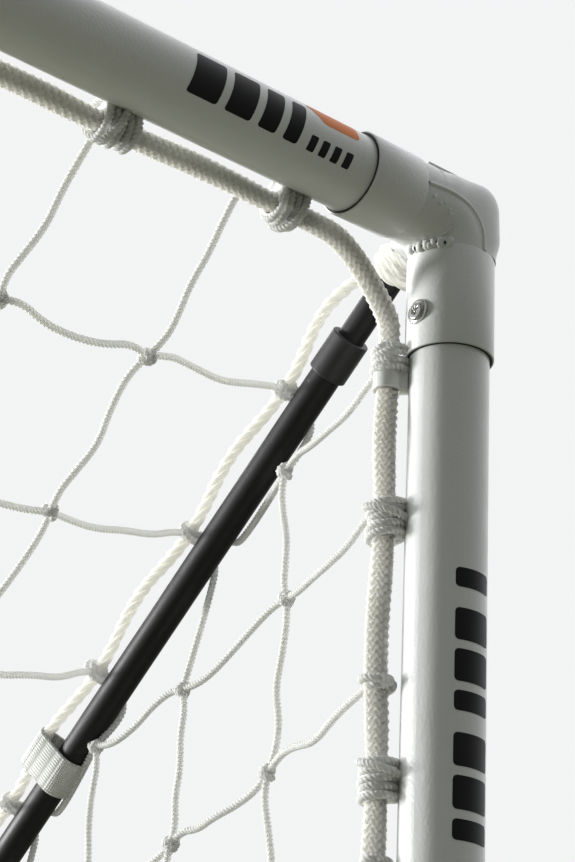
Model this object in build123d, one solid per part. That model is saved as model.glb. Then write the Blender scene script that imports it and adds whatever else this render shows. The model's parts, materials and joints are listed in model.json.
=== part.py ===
"""Portable steel soccer goal with a knotted net, one STEP file for each piece.

Millimetres.  +X runs along the crossbar (to the right as seen from the field), +Y runs
from the goal mouth to the back, +Z is up.  The origin is on the ground, in the middle
of the goal's width and depth.
"""
from build123d import *
import os
from math import cos, hypot, radians, sin

# ------------------------------------------------------------------ overall sizes
overall_width = 1830.0
overall_height = 1220.0
overall_depth = 1510.0

# ------------------------------------------------------------------ tubes
main_od = 42.0            # white tube of the mouth frame
main_wall = 1.5
ground_od = 25.0          # black tube of the ground frame
ground_wall = 1.5
stay_od = 18.0
stay_wall = 1.0
stub_slip = 0.2           # radial clearance of the short upper stay tube in the stay tube
stub_wall = 1.2
tube_fit = 0.15           # radial clearance of a tube in its socket

# ------------------------------------------------------------------ top elbows
elbow_wall = 1.25
post_socket_reach = 83.0  # from the corner's centre down to the socket's rim
bar_socket_reach = 73.0   # from the corner's centre in to the socket's rim
bend_inside = 5.0         # inside radius of the bend, from the tube's skin
seat_gap = 4.0            # tube end to the start of the bend
cap_proud = 0.8           # corner cap stands out of the sockets by this much
cap_radius = 14.0         # rounding of the cap's outer corner
cap_front = 9.0           # front edge of the cap, in front of the corner's centre
cap_back = 17.0           # back edge of the cap, behind the corner's centre
boss_wall = 3.2           # boss behind the elbow that takes the stay stub
boss_bite = 0.6           # start of the boss along the stay line, past the sockets' radius
boss_length = 22.0
boss_floor = 2.0          # floor of the boss's bore
boss_seat = 0.5           # the stub's end to the floor of the boss
stay_rise = 22.3          # stay line above the corner's centre, in the mouth plane

# ------------------------------------------------------------------ base and rear elbows
foot_height = 4.0
sole = 0.6                # ground tubes' sockets above the fittings' flat undersides
foot_peg_od = 8.0
foot_peg_length = 5.0
peg_fit = 0.1
base_socket_height = 96.0
branch_reach = 68.0       # side bar socket of the base elbow, from the post's centre
rear_socket_reach = 52.0
ground_elbow_wall = 1.25
ground_seat_in = 14.0     # ground tubes' ends, from the rear corner's centre
side_bar_in = 12.0        # side bar's front end, from the post's centre
lug_setback = 30.0        # stay pivot in front of the rear bar's centre
lug_height = 30.0         # stay pivot above the ground tubes' centre
lug_thickness = 5.0
lug_radius = 8.0

# ------------------------------------------------------------------ stays
collar_start = 101.0      # plastic collar on the stay tube's mouth, along the stay line
collar_length = 25.0
collar_wall = 2.2
collar_lip = 3.0          # the collar's lip in front of the stay tube
collar_fit = 0.05         # radial clearance of the collar on the stay tube
stub_overlap = 45.0       # length of stub inside the stay tube
foot_plug_length = 25.0
fork_gap = 5.5
fork_length = 26.0
fork_eye_radius = 8.4
pivot_hole = 6.4
pivot_bolt = 6.0

# ------------------------------------------------------------------ joiners
joiner_length = 160.0
joiner_wall = 1.5
joint_gap = 0.2           # gap between the two halves of a split bar

# ------------------------------------------------------------------ fasteners
screw_od = 6.0
screw_length = 13.0
screw_head_od = 10.4
screw_head_height = 3.0
screw_flange_od = 13.6
screw_flange_height = 1.3
screw_recess_od = 5.2
screw_recess_depth = 2.0
screw_pin_od = 1.7
screw_hole = 6.4
screw_seat = 0.02         # screw's flange to the fitting
nut_od = 12.0
nut_height = 6.0
screw_scale_ground = 0.8  # the ground frame's screws against the mouth frame's
screw_drop = 62.5         # post screw below the crossbar's centre
screw_inset = 52.0        # crossbar screw from the post's centre
base_screw_height = 76.0  # base screw above the ground
rear_screw_reach = 38.0   # rear elbow screws from the corner's centre

# ------------------------------------------------------------------ snap buttons
button_od = 5.0
button_fit = 0.06         # radial clearance of a button in its holes
button_proud = 1.8
button_flange_od = 7.0
button_flange_height = 1.0
leaf_thickness = 0.5
leaf_width = 3.6
leaf_length = 22.0
leaf_gap = 0.05
side_button_inset = 14.0  # side bar's button, from its socket's rim

# ------------------------------------------------------------------ ropes, clips and net
rope_od = 11.5            # braided border rope round the mouth
rope_gap = 4.75           # skin of the tube to the skin of the rope
rope_corner_radius = 58.0
rope_base_height = 60.0
stay_rope_od = 7.0
stay_rope_inset = 0.5     # stay rope's centre, short of the stay's inner side
stay_rope_lift = 4.5      # stay rope's centre, above the stay's top side
stay_rope_start = 62.0    # along the stay line from the mouth plane
stay_rope_short = 70.0    # end of the stay rope, short of the stay's pivot
base_rope_od = 8.0
base_rope_in = 15.0
base_rope_up = 14.0
base_rope_corner_radius = 45.0
clip_length = 17.0
clip_width = 9.0
clip_ring_wall = 1.8
clip_ring_fit = 0.3
clip_opening = 6.0
clip_plug_od = 5.0
clip_plug_fit = 0.1
clip_plug_depth = 4.0
clip_clear = 0.05         # clip base to tube
bar_clip_start = 98.0     # first crossbar clip from the post's centre
bar_clip_pitch = 110.0
post_clip_drops = (84.0, 173.0, 308.0)
post_clip_pitch = 112.0
ground_clip_pitch = 140.0
ground_clip_start = 120.0
band_length = 30.0
band_wall = 2.2
band_fit = 0.3
band_places = (417.0, 760.0, 1120.0, 1480.0)
net_thickness = 2.0
net_in = 24.0             # side nets, inwards from the posts' centre
net_clear = 1.0

# ------------------------------------------------------------------ derived places
socket_radius = main_od / 2 + tube_fit + elbow_wall
bend_radius = main_od / 2 + bend_inside
stub_od = stay_od - 2 * (stay_wall + stub_slip)
collar_od = stay_od + 2 * collar_wall
boss_od = stub_od + 2 * boss_wall
boss_start = socket_radius + boss_bite
boss_end = boss_start + boss_length
rope_stand_off = main_od / 2 + rope_gap + rope_od / 2
stay_rope_in = stay_od / 2 - stay_rope_inset
stay_rope_up = stay_od / 2 + stay_rope_lift
ground_socket_radius = ground_od / 2 + tube_fit + ground_elbow_wall
cap_reach = socket_radius + cap_proud
post_x = overall_width / 2 - cap_reach
bar_z = overall_height - cap_reach
front_y = -overall_depth / 2 + socket_radius
rear_y = overall_depth / 2 - ground_socket_radius
ground_z = foot_height + sole + ground_socket_radius
pivot_y = rear_y - lug_setback
pivot_z = ground_z + lug_height
stay_run = pivot_y - front_y
stay_fall = bar_z + stay_rise - pivot_z
stay_length = hypot(stay_run, stay_fall)
base_seat_z = ground_z + ground_socket_radius + 2.0
post_seat_z = bar_z - bend_radius - seat_gap
bar_seat_x = post_x - bend_radius - seat_gap
rope_diagonal = rope_stand_off * cos(radians(45))
SIDES = (("left", -1), ("right", 1))

made = {}


def keep(name, shape):
    """Remember one finished piece under its node name."""
    made[name] = shape


def rod(start, end, radius):
    """Solid cylinder between two points."""
    start, end = Vector(*start), Vector(*end)
    axis = end - start
    place = Plane(origin=start, z_dir=axis)
    return place * Cylinder(radius, axis.length, align=(Align.CENTER, Align.CENTER, Align.MIN))


def pipe(start, end, outer, inner):
    """Hollow cylinder between two points."""
    return rod(start, end, outer) - rod(start, end, inner)


def along_stay(side, s, inwards=0.0, up=0.0):
    """Point on the stay's line at distance s, with an offset inwards and upwards."""
    run, fall = stay_run / stay_length, stay_fall / stay_length
    x = side * (post_x - inwards)
    return (x, front_y + run * s + fall * up, bar_z + stay_rise - fall * s + run * up)


# ------------------------------------------------------------------ clip places
def ladder(start, stop, pitch):
    """Places from start to stop at a steady pitch."""
    count = int((stop - start) / pitch) + 1
    return [start + pitch * step for step in range(count)]


bar_clip_count = int((post_x - bar_clip_start) / bar_clip_pitch)
bar_clip_x = [post_x - bar_clip_start - bar_clip_pitch * step for step in range(bar_clip_count + 1)]
lowest_clip_z = base_socket_height + foot_height + clip_length
post_clip_z = [bar_z - drop for drop in post_clip_drops]
post_clip_z[0] = min(post_clip_z[0], bar_z - post_socket_reach - clip_length / 2 - 0.5)
while post_clip_z[-1] - post_clip_pitch > lowest_clip_z:
    post_clip_z.append(post_clip_z[-1] - post_clip_pitch)
side_clip_y = ladder(front_y + ground_clip_start, rear_y - ground_clip_start, ground_clip_pitch)
rear_clip_x = ladder(-(post_x - ground_clip_start), post_x - ground_clip_start, ground_clip_pitch)


# ------------------------------------------------------------------ mouth frame
def clip_ring(rope_radius):
    """Inner and outer radius of a net clip's ring."""
    inner = rope_radius + clip_ring_fit
    return inner, inner + clip_ring_wall


def net_clip(centre, tube_radius, outwards, along, rope_radius, stand_off):
    """Hooked net clip: a base on the tube, a barbed plug and an open ring round the rope."""
    place = Plane(origin=centre, x_dir=Vector(*along), z_dir=Vector(*outwards))
    base_low = tube_radius + clip_clear
    ring_inner, ring_outer = clip_ring(rope_radius)
    base_high = stand_off - ring_inner - 0.3
    base = Pos(0, 0, (base_low + base_high) / 2) * Box(clip_length, clip_width, base_high - base_low)
    ring = Pos(0, 0, stand_off) * Rot(0, 90, 0) * (
        Cylinder(ring_outer, clip_length) - Cylinder(ring_inner, clip_length + 2)
    )
    mouth = Pos(0, ring_outer, stand_off) * Box(clip_length + 2, 2 * ring_outer, clip_opening)
    plug_low = tube_radius - clip_plug_depth
    plug = Pos(0, 0, (plug_low + base_high) / 2) * Cylinder(clip_plug_od / 2, base_high - plug_low)
    hollow = Pos(0, 0, stand_off) * Rot(0, 90, 0) * Cylinder(ring_inner, clip_length + 2)
    return place * (base + (ring - mouth) + plug - hollow)


def clip_holes(centres, outwards, tube_radius):
    """Drilled holes for the clips' plugs in one wall of a tube."""
    return [
        rod(
            Vector(*centre) + Vector(*outwards).normalized() * (tube_radius - clip_plug_depth - 1),
            Vector(*centre) + Vector(*outwards).normalized() * (tube_radius + 2),
            clip_plug_od / 2 + clip_plug_fit,
        )
        for centre in centres
    ]


def screw(point, direction, scale=1.0):
    """Flanged dome-head screw with a six-lobed recess and a centre pin."""
    place = Plane(origin=Vector(*point), z_dir=Vector(*direction))
    flange = Cylinder(
        screw_flange_od / 2, screw_flange_height, align=(Align.CENTER, Align.CENTER, Align.MIN)
    )
    head = Pos(0, 0, screw_flange_height) * Cylinder(
        screw_head_od / 2,
        screw_head_height - screw_flange_height,
        align=(Align.CENTER, Align.CENTER, Align.MIN),
    )
    head = fillet(head.edges().sort_by(Axis.Z)[-1], (screw_head_height - screw_flange_height) * 0.8)
    shank = Cylinder(screw_od / 2, screw_length, align=(Align.CENTER, Align.CENTER, Align.MAX))
    recess = Pos(0, 0, screw_head_height - screw_recess_depth) * Cylinder(
        screw_recess_od / 2, screw_recess_depth + 1, align=(Align.CENTER, Align.CENTER, Align.MIN)
    )
    pin = Pos(0, 0, screw_head_height - screw_recess_depth - 0.2) * Cylinder(
        screw_pin_od / 2, screw_recess_depth, align=(Align.CENTER, Align.CENTER, Align.MIN)
    )
    whole = flange + head + shank - recess + pin
    return place * whole.scale(scale) if scale != 1.0 else place * whole


def nut(point, direction, tube_inner):
    """Round nut inside a tube, its outer face curved to the tube's bore."""
    point, direction = Vector(*point), Vector(*direction).normalized()
    bore_gap = 0.1
    blank = rod(point + direction * tube_inner, point + direction * (tube_inner - nut_height), nut_od / 2)
    hole = rod(point + direction * (tube_inner + 1), point + direction * (tube_inner - 20), 3.1)
    return blank - hole, tube_inner - bore_gap


corner_screw_places = []
for side_name, side in SIDES:
    inwards = (-side, 0, 0)
    corner_screw_places.append(((side * post_x, front_y, bar_z - screw_drop), inwards, (0, 0, 1)))
    corner_screw_places.append(((side * post_x, front_y, base_screw_height), inwards, (0, 0, 1)))
    corner_screw_places.append(
        ((side * (post_x - screw_inset), front_y, bar_z), (0, 1, 0), (1, 0, 0))
    )

drill_depth = 30.0
corner_drills = [
    rod(
        Vector(*point),
        Vector(*point) + Vector(*direction) * drill_depth,
        screw_hole / 2,
    )
    for point, direction, tube_line in corner_screw_places
]
diagonal_post = {side: (-side, 1, 0) for _, side in SIDES}
diagonal_bar = (0, 1, -1)


def top_elbow(side):
    """Corner fitting: two sockets, the bend, a corner cap and the stay boss."""
    corner = Vector(side * post_x, front_y, bar_z)
    bar_dir, post_dir = Vector(-side, 0, 0), Vector(0, 0, -1)
    bar_rim, post_rim = corner + bar_dir * bar_socket_reach, corner + post_dir * post_socket_reach
    bar_bend, post_bend = corner + bar_dir * bend_radius, corner + post_dir * bend_radius
    centre = corner + (bar_dir + post_dir) * bend_radius
    turning = Axis(centre, (0, side, 0))
    start_plane = Plane(origin=bar_bend, z_dir=bar_dir)
    bend = revolve(start_plane * Circle(socket_radius), axis=turning, revolution_arc=90)
    hollow_radius = main_od / 2 - main_wall
    bend_hollow = revolve(start_plane * Circle(hollow_radius), axis=turning, revolution_arc=90)
    body = rod(bar_rim, bar_bend, socket_radius) + rod(post_rim, post_bend, socket_radius) + bend
    low, high = -bend_radius, cap_reach
    cap_size = high - low
    cap_middle = (low + high) / 2
    cap = Box(cap_size, cap_front + cap_back, cap_size)
    outer_edge = cap.edges().filter_by(Axis.Y).group_by(Axis.Z)[-1].sort_by(Axis.X)
    pick = -1 if side > 0 else 0
    cap = fillet(outer_edge[pick], cap_radius)
    cap -= Pos(-side * cap_size / 2, 0, -cap_size / 2) * Rot(90, 0, 0) * Cylinder(
        cap_size * 0.5, cap_front + cap_back + 2
    )
    cap = Pos(*(corner + Vector(side * cap_middle, (cap_back - cap_front) / 2, cap_middle))) * cap
    body += cap
    body += rod(along_stay(side, boss_start), along_stay(side, boss_end), boss_od / 2)
    body -= bend_hollow
    body -= rod(bar_rim, bar_bend, hollow_radius)
    body -= rod(post_rim, post_bend, hollow_radius)
    body -= rod(bar_rim + bar_dir, corner + bar_dir * (bend_radius + seat_gap), main_od / 2 + tube_fit)
    body -= rod(
        post_rim + post_dir, corner + post_dir * (bend_radius + seat_gap), main_od / 2 + tube_fit
    )
    body -= rod(
        along_stay(side, boss_start + boss_floor), along_stay(side, boss_end + 2), stub_od / 2 + tube_fit
    )
    return body


for side_name, side in SIDES:
    elbow = top_elbow(side)
    for drill in corner_drills:
        elbow -= drill
    keep(f"top_elbow_{side_name}", elbow)

post_clips, bar_clips = {}, []
for side_name, side in SIDES:
    line = (side * post_x, front_y)
    centres = [(*line, z) for z in post_clip_z]
    post = pipe((*line, base_seat_z), (*line, post_seat_z), main_od / 2, main_od / 2 - main_wall)
    for drill in corner_drills + clip_holes(centres, diagonal_post[side], main_od / 2):
        post -= drill
    keep(f"post_{side_name}", post)
    post_clips[side_name] = [
        net_clip(c, main_od / 2, diagonal_post[side], (0, 0, side), rope_od / 2, rope_stand_off)
        for c in centres
    ]
    keep(f"post_clips_{side_name}", Compound(children=post_clips[side_name]))

    bar_centres = [(side * x, front_y, bar_z) for x in bar_clip_x if x > clip_length]
    bar = pipe(
        (side * joint_gap / 2, front_y, bar_z),
        (side * bar_seat_x, front_y, bar_z),
        main_od / 2,
        main_od / 2 - main_wall,
    )
    for drill in corner_drills + clip_holes(bar_centres, diagonal_bar, main_od / 2):
        bar -= drill
    keep(f"crossbar_{side_name}", bar)
    bar_clips += [
        net_clip(c, main_od / 2, diagonal_bar, (1, 0, 0), rope_od / 2, rope_stand_off)
        for c in bar_centres
    ]
keep("crossbar_clips", Compound(children=bar_clips))

screws, nuts = [], []
seat = socket_radius + screw_seat
for point, direction, tube_line in corner_screw_places:
    screws.append(screw(Vector(*point) + Vector(*direction) * seat, direction))
    blank, trim = nut(point, direction, main_od / 2 - main_wall + 1)
    span = Vector(*tube_line) * 20
    nuts.append(blank & rod(Vector(*point) - span, Vector(*point) + span, trim - 1))
keep("corner_screws", Compound(children=screws))
keep("corner_nuts", Compound(children=nuts))


# ------------------------------------------------------------------ snap buttons
def snap_button(centre, along, outwards, inner_bore, outer_surface):
    """Round button through a tube's wall, and the bent leaf that pushes it out."""
    place = Plane(origin=Vector(*centre), x_dir=Vector(*along), z_dir=Vector(*outwards))
    top = outer_surface + button_proud
    flange_top = (inner_bore**2 - (button_flange_od / 2) ** 2) ** 0.5 - 0.2
    flange_low = flange_top - button_flange_height
    button = Pos(0, 0, flange_low) * Cylinder(
        button_od / 2, top - flange_low, align=(Align.CENTER, Align.CENTER, Align.MIN)
    )
    button = fillet(button.edges().sort_by(Axis.Z)[-1], button_proud * 0.7)
    button += Pos(0, 0, flange_low) * Cylinder(
        button_flange_od / 2, button_flange_height, align=(Align.CENTER, Align.CENTER, Align.MIN)
    )
    high = flange_low - leaf_gap
    low = -((inner_bore**2 - (leaf_width / 2) ** 2) ** 0.5) + leaf_gap
    arm = (leaf_length, leaf_width, leaf_thickness)
    upper = Pos(leaf_length / 2 - leaf_width / 2, 0, high - leaf_thickness / 2) * Box(*arm)
    lower = Pos(leaf_length / 2 - leaf_width / 2, 0, low + leaf_thickness / 2) * Box(*arm)
    outer_bend, middle = (high - low) / 2, (high + low) / 2
    turn = Rot(90, 0, 0) * (
        Cylinder(outer_bend, leaf_width) - Cylinder(outer_bend - leaf_thickness, leaf_width + 1)
    )
    turn &= Pos(outer_bend, 0, 0) * Box(2 * outer_bend, leaf_width + 2, 2 * outer_bend + 1)
    turn = Pos(leaf_length - leaf_width / 2, 0, middle) * turn
    return place * button, place * (upper + lower + turn)


button_hole = button_od / 2 + button_fit


# crossbar joiner, fixed in the left half and locked in the right half by a button
def split_joint(name, tube_od, tube_wall, line, outwards, plug_holes):
    """Inner joiner tube of a split bar, its snap button and its leaf spring."""
    y, z = line
    outer = tube_od / 2 - tube_wall - tube_fit
    inner = outer - joiner_wall
    half = joiner_length / 2
    joiner = pipe((-half, y, z), (half, y, z), outer, inner)
    centre = (half / 2, y, z)
    drill = rod(centre, Vector(*centre) + Vector(*outwards) * tube_od, button_hole)
    for hole in plug_holes:
        joiner -= hole
    button, leaf = snap_button(centre, (1, 0, 0), outwards, inner, tube_od / 2)
    keep(f"{name}_joiner", joiner - drill)
    keep(f"{name}_button", button)
    keep(f"{name}_leaf", leaf)
    return drill


bar_holes = clip_holes(
    [(side * x, front_y, bar_z) for x in bar_clip_x for _, side in SIDES], diagonal_bar, main_od / 2
)
drill = split_joint("crossbar", main_od, main_wall, (front_y, bar_z), (0, 1, 0), bar_holes)
made["crossbar_right"] -= drill

# ------------------------------------------------------------------ ground frame
side_bar_start = front_y + side_bar_in
rear_bar_seat = post_x - ground_seat_in
side_bar_end = rear_y - ground_seat_in
ground_bore = ground_od / 2 + tube_fit
side_button_y = front_y + branch_reach - side_button_inset
ground_inner = ground_od / 2 - ground_wall
up_in = {side: (-side * base_rope_in, 0, base_rope_up) for _, side in SIDES}
base_rope_radius = base_rope_od / 2
base_stand_off = hypot(base_rope_in, base_rope_up)
ground_screw_places = []
for side_name, side in SIDES:
    corner = (side * post_x, rear_y, ground_z)
    ground_screw_places.append(((side * post_x, rear_y - rear_screw_reach, ground_z), (side, 0, 0)))
    ground_screw_places.append(((side * (post_x - rear_screw_reach), rear_y, ground_z), (0, 0, 1)))
ground_drills = [
    rod(Vector(*p), Vector(*p) + Vector(*d) * drill_depth, screw_hole / 2 * screw_scale_ground)
    for p, d in ground_screw_places
]


def base_elbow(side):
    """Base fitting: the post's socket on a solid core, with a socket for the side bar."""
    x, core_top = side * post_x, base_seat_z
    rim_z = foot_height + base_socket_height
    body = rod((x, front_y, foot_height), (x, front_y, rim_z), socket_radius)
    body += rod((x, front_y, ground_z), (x, front_y + branch_reach, ground_z), ground_socket_radius)
    body -= rod((x, front_y, core_top), (x, front_y, rim_z + 1), main_od / 2 + tube_fit)
    body -= rod(
        (x, side_bar_start, ground_z), (x, front_y + branch_reach + 1, ground_z), ground_bore
    )
    peg_top = foot_height + foot_peg_length + 0.5
    body -= rod((x, front_y, foot_height - 1), (x, front_y, peg_top), foot_peg_od / 2 + peg_fit)
    return body


def rear_elbow(side):
    """Rear corner fitting: two sockets at right angles and the lug for the stay's foot."""
    corner = Vector(side * post_x, rear_y, ground_z)
    to_front, to_middle = Vector(0, -1, 0), Vector(-side, 0, 0)
    body = Pos(*corner) * Sphere(ground_socket_radius)
    body += rod(corner, corner + to_front * rear_socket_reach, ground_socket_radius)
    body += rod(corner, corner + to_middle * rear_socket_reach, ground_socket_radius)
    lug_foot = ground_od / 2 + 1.0
    web = Pos(side * post_x, pivot_y, (ground_z + lug_foot + pivot_z) / 2) * Box(
        lug_thickness, 2 * lug_radius, pivot_z - ground_z - lug_foot
    )
    half = Vector(lug_thickness / 2, 0, 0)
    pivot = Vector(side * post_x, pivot_y, pivot_z)
    body += web + rod(pivot - half, pivot + half, lug_radius)
    underside = Vector(corner.X, corner.Y, foot_height)
    body += rod(underside, corner, ground_socket_radius - 0.4)
    body -= rod(corner + to_front * ground_seat_in, corner + to_front * (rear_socket_reach + 1), ground_bore)
    body -= rod(corner + to_middle * ground_seat_in, corner + to_middle * (rear_socket_reach + 1), ground_bore)
    body -= rod(pivot - half * 3, pivot + half * 3, pivot_hole / 2)
    peg_top = foot_height + foot_peg_length + 0.5
    low = Vector(corner.X, corner.Y, 0)
    body -= rod(low, low + Vector(0, 0, peg_top), foot_peg_od / 2 + peg_fit)
    return body


def foot(x, y, radius):
    """Round rubber foot with a peg that presses into the fitting above it."""
    pad = rod((x, y, 0), (x, y, foot_height - 0.02), radius)
    pad = chamfer(pad.edges().sort_by(Axis.Z)[0], 0.8)
    return pad + rod((x, y, 1), (x, y, foot_height + foot_peg_length), foot_peg_od / 2)


front_feet, rear_feet = [], []
for side_name, side in SIDES:
    x = side * post_x
    side_button = Vector(x, side_button_y, ground_z)
    side_drill = rod(side_button, side_button + Vector(side * ground_od, 0, 0), button_hole)
    base = base_elbow(side)
    for cut in [side_drill, *corner_drills]:
        base -= cut
    keep(f"base_elbow_{side_name}", base)
    front_feet.append(foot(x, front_y, socket_radius - 0.4))

    rear = rear_elbow(side)
    for cut in ground_drills:
        rear -= cut
    keep(f"rear_elbow_{side_name}", rear)
    rear_feet.append(foot(x, rear_y, ground_socket_radius - 0.8))

    clip_out = (-side * base_rope_in, 0, base_rope_up)
    centres = [(x, y, ground_z) for y in side_clip_y]
    bar = pipe((x, side_bar_start, ground_z), (x, side_bar_end, ground_z), ground_od / 2, ground_inner)
    for cut in [side_drill, *ground_drills, *clip_holes(centres, clip_out, ground_od / 2)]:
        bar -= cut
    keep(f"side_bar_{side_name}", bar)
    keep(
        f"side_clips_{side_name}",
        Compound(
            children=[
                net_clip(c, ground_od / 2, clip_out, (0, side, 0), base_rope_radius, base_stand_off)
                for c in centres
            ]
        ),
    )
    button, leaf = snap_button(
        side_button, (0, 1, 0), (side, 0, 0), ground_inner, ground_socket_radius
    )
    keep(f"side_button_{side_name}", button)
    keep(f"side_leaf_{side_name}", leaf)

    rear_out = (0, -base_rope_in, base_rope_up)
    centres = [(cx, rear_y, ground_z) for cx in rear_clip_x if side * cx > clip_length]
    bar = pipe(
        (side * joint_gap / 2, rear_y, ground_z),
        (side * rear_bar_seat, rear_y, ground_z),
        ground_od / 2,
        ground_inner,
    )
    for cut in [*ground_drills, *clip_holes(centres, rear_out, ground_od / 2)]:
        bar -= cut
    keep(f"rear_bar_{side_name}", bar)
    keep(
        f"rear_clips_{side_name}",
        Compound(
            children=[
                net_clip(c, ground_od / 2, rear_out, (1, 0, 0), base_rope_radius, base_stand_off)
                for c in centres
            ]
        ),
    )
keep("front_feet", Compound(children=front_feet))
keep("rear_feet", Compound(children=rear_feet))
rear_holes = clip_holes([(x, rear_y, ground_z) for x in rear_clip_x], rear_out, ground_od / 2)
drill = split_joint("rear_bar", ground_od, ground_wall, (rear_y, ground_z), (0, 0, 1), rear_holes)
made["rear_bar_right"] -= drill
ground_seat = ground_socket_radius + screw_seat
keep(
    "ground_screws",
    Compound(
        children=[
            screw(Vector(*p) + Vector(*d) * ground_seat, d, screw_scale_ground)
            for p, d in ground_screw_places
        ]
    ),
)

# ------------------------------------------------------------------ stays
tube_mouth = collar_start + collar_lip
stub_end = tube_mouth + stub_overlap
tube_end = stay_length - fork_length
stay_bore = stay_od / 2 - stay_wall
plug_radius = stay_bore - tube_fit
button_s = collar_start + collar_length / 2
stay_along = Vector(*along_stay(1, 1)) - Vector(*along_stay(1, 0))
bolts, bolt_nuts = [], []
for side_name, side in SIDES:
    button_centre = Vector(*along_stay(side, button_s))
    out = Vector(side, 0, 0)
    stay_drill = rod(button_centre, button_centre + out * collar_od, button_hole)

    stub = pipe(
        along_stay(side, boss_start + boss_floor + boss_seat),
        along_stay(side, stub_end),
        stub_od / 2,
        stub_od / 2 - stub_wall,
    )
    keep(f"stay_stub_{side_name}", stub - stay_drill)

    tube = pipe(along_stay(side, tube_mouth), along_stay(side, tube_end), stay_od / 2, stay_bore)
    keep(f"stay_tube_{side_name}", tube - stay_drill)

    collar = rod(
        along_stay(side, collar_start), along_stay(side, collar_start + collar_length), collar_od / 2
    )
    collar = fillet(collar.edges().filter_by(GeomType.CIRCLE), 0.8)
    collar -= rod(
        along_stay(side, collar_start - 1), along_stay(side, tube_mouth), stub_od / 2 + tube_fit
    )
    collar -= rod(
        along_stay(side, tube_mouth - 0.02),
        along_stay(side, collar_start + collar_length + 1),
        stay_od / 2 + collar_fit,
    )
    keep(f"stay_collar_{side_name}", collar - stay_drill)

    button, leaf = snap_button(
        button_centre, stay_along, out, stub_od / 2 - stub_wall, collar_od / 2
    )
    keep(f"stay_button_{side_name}", button)
    keep(f"stay_leaf_{side_name}", leaf)

    pivot = Vector(side * post_x, pivot_y, pivot_z)
    slot_plane = Plane(origin=pivot, x_dir=stay_along, z_dir=out)
    profile = Pos(-fork_length, 0, 0) * Box(2 * fork_length, 2 * fork_eye_radius, 2 * stay_od)
    profile += Cylinder(fork_eye_radius, 2 * stay_od)
    body_end = stay_length + fork_eye_radius + 2.0
    fork = rod(along_stay(side, tube_end + 0.02), along_stay(side, body_end), stay_od / 2)
    fork &= slot_plane * profile
    slot_depth = fork_length - 8.0
    fork -= slot_plane * Pos((stay_od - slot_depth) / 2, 0, 0) * Box(
        slot_depth + stay_od, 3 * stay_od, fork_gap
    )
    fork -= slot_plane * Cylinder(pivot_hole / 2, 2 * stay_od)
    fork += rod(
        along_stay(side, tube_end - foot_plug_length), along_stay(side, tube_end + 3), plug_radius
    )
    keep(f"stay_foot_{side_name}", fork)

    cheek = stay_od / 2 + 0.05
    bolt = rod(pivot - out * (cheek + 6.5), pivot + out * (cheek + 0.1), pivot_bolt / 2)
    head = rod(pivot + out * cheek, pivot + out * (cheek + 3.2), 5.2)
    head = fillet(head.edges().filter_by(GeomType.CIRCLE), 0.9)
    socket = Plane(origin=pivot + out * (cheek + 1.4), z_dir=out) * extrude(RegularPolygon(2.3, 6), 3)
    bolts.append(bolt + head - socket)
    hexagon = Plane(origin=pivot - out * cheek, z_dir=out * -1) * extrude(RegularPolygon(5.7, 6), 5.5)
    bolt_nuts.append(hexagon - rod(pivot - out * 30, pivot, pivot_bolt / 2 + 0.05))
keep("stay_bolts", Compound(children=bolts))
keep("stay_nuts", Compound(children=bolt_nuts))

# ------------------------------------------------------------------ ropes
rope_x, rope_y, rope_z = post_x - rope_diagonal, front_y + rope_diagonal, bar_z - rope_diagonal


def rope(points, radii, radius):
    """Round rope along straight runs joined by tangent arcs."""
    path = FilletPolyline(*points, radius=radii)
    section = Plane(origin=path @ 0, z_dir=path % 0) * Circle(radius)
    return sweep(section, path=path)


keep(
    "mouth_rope",
    rope(
        [
            (-rope_x, rope_y, rope_base_height),
            (-rope_x, rope_y, rope_z),
            (rope_x, rope_y, rope_z),
            (rope_x, rope_y, rope_base_height),
        ],
        [rope_corner_radius, rope_corner_radius],
        rope_od / 2,
    ),
)
base_x, base_y, base_z = post_x - base_rope_in, rear_y - base_rope_in, ground_z + base_rope_up
keep(
    "base_rope",
    rope(
        [
            (-base_x, front_y + branch_reach + 8, base_z),
            (-base_x, base_y, base_z),
            (base_x, base_y, base_z),
            (base_x, front_y + branch_reach + 8, base_z),
        ],
        [base_rope_corner_radius, base_rope_corner_radius],
        base_rope_radius,
    ),
)
stay_rope_end = stay_length - stay_rope_short
for side_name, side in SIDES:
    keep(
        f"stay_rope_{side_name}",
        rod(
            along_stay(side, stay_rope_start, stay_rope_in, stay_rope_up),
            along_stay(side, stay_rope_end, stay_rope_in, stay_rope_up),
            stay_rope_od / 2,
        ),
    )
    bands = []
    for s in band_places:
        if s + band_length > stay_rope_end:
            continue
        inner = stay_od / 2 + band_fit
        low, high = s - band_length / 2, s + band_length / 2
        bands.append(pipe(along_stay(side, low), along_stay(side, high), inner + band_wall, inner))
    keep(f"stay_bands_{side_name}", Compound(children=bands))

# ------------------------------------------------------------------ net panels
net_x = post_x - net_in
front_edge = rope_y + clip_ring(rope_od / 2)[1] + net_clear
base_gap = clip_ring(base_rope_radius)[1] + net_clear
side_bottom = base_z + base_gap
stay_slope = stay_fall / stay_run
rear_net_top = Vector(0, front_edge, rope_z - (front_edge - rope_y) * stay_slope)
rear_net_low = Vector(0, base_y - base_gap, base_z + base_gap)
net_dir = (rear_net_low - rear_net_top).normalized()
net_up = Vector(0, -net_dir.Z, net_dir.Y)
for side_name, side in SIDES:
    side_gap = net_thickness / 2 + net_clear
    top = rear_net_top - net_up * side_gap
    low = rear_net_low - net_up * side_gap
    outline = Polyline(
        (front_edge, top.Z - 2), (low.Y - 2 / stay_slope, side_bottom), (front_edge, side_bottom),
        close=True,
    )
    face = make_face(outline)
    panel = extrude(Plane(origin=(side * net_x, 0, 0), x_dir=(0, 1, 0), z_dir=(1, 0, 0)) * face,
                    net_thickness / 2, both=True)
    keep(f"net_{side_name}", panel)
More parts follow.
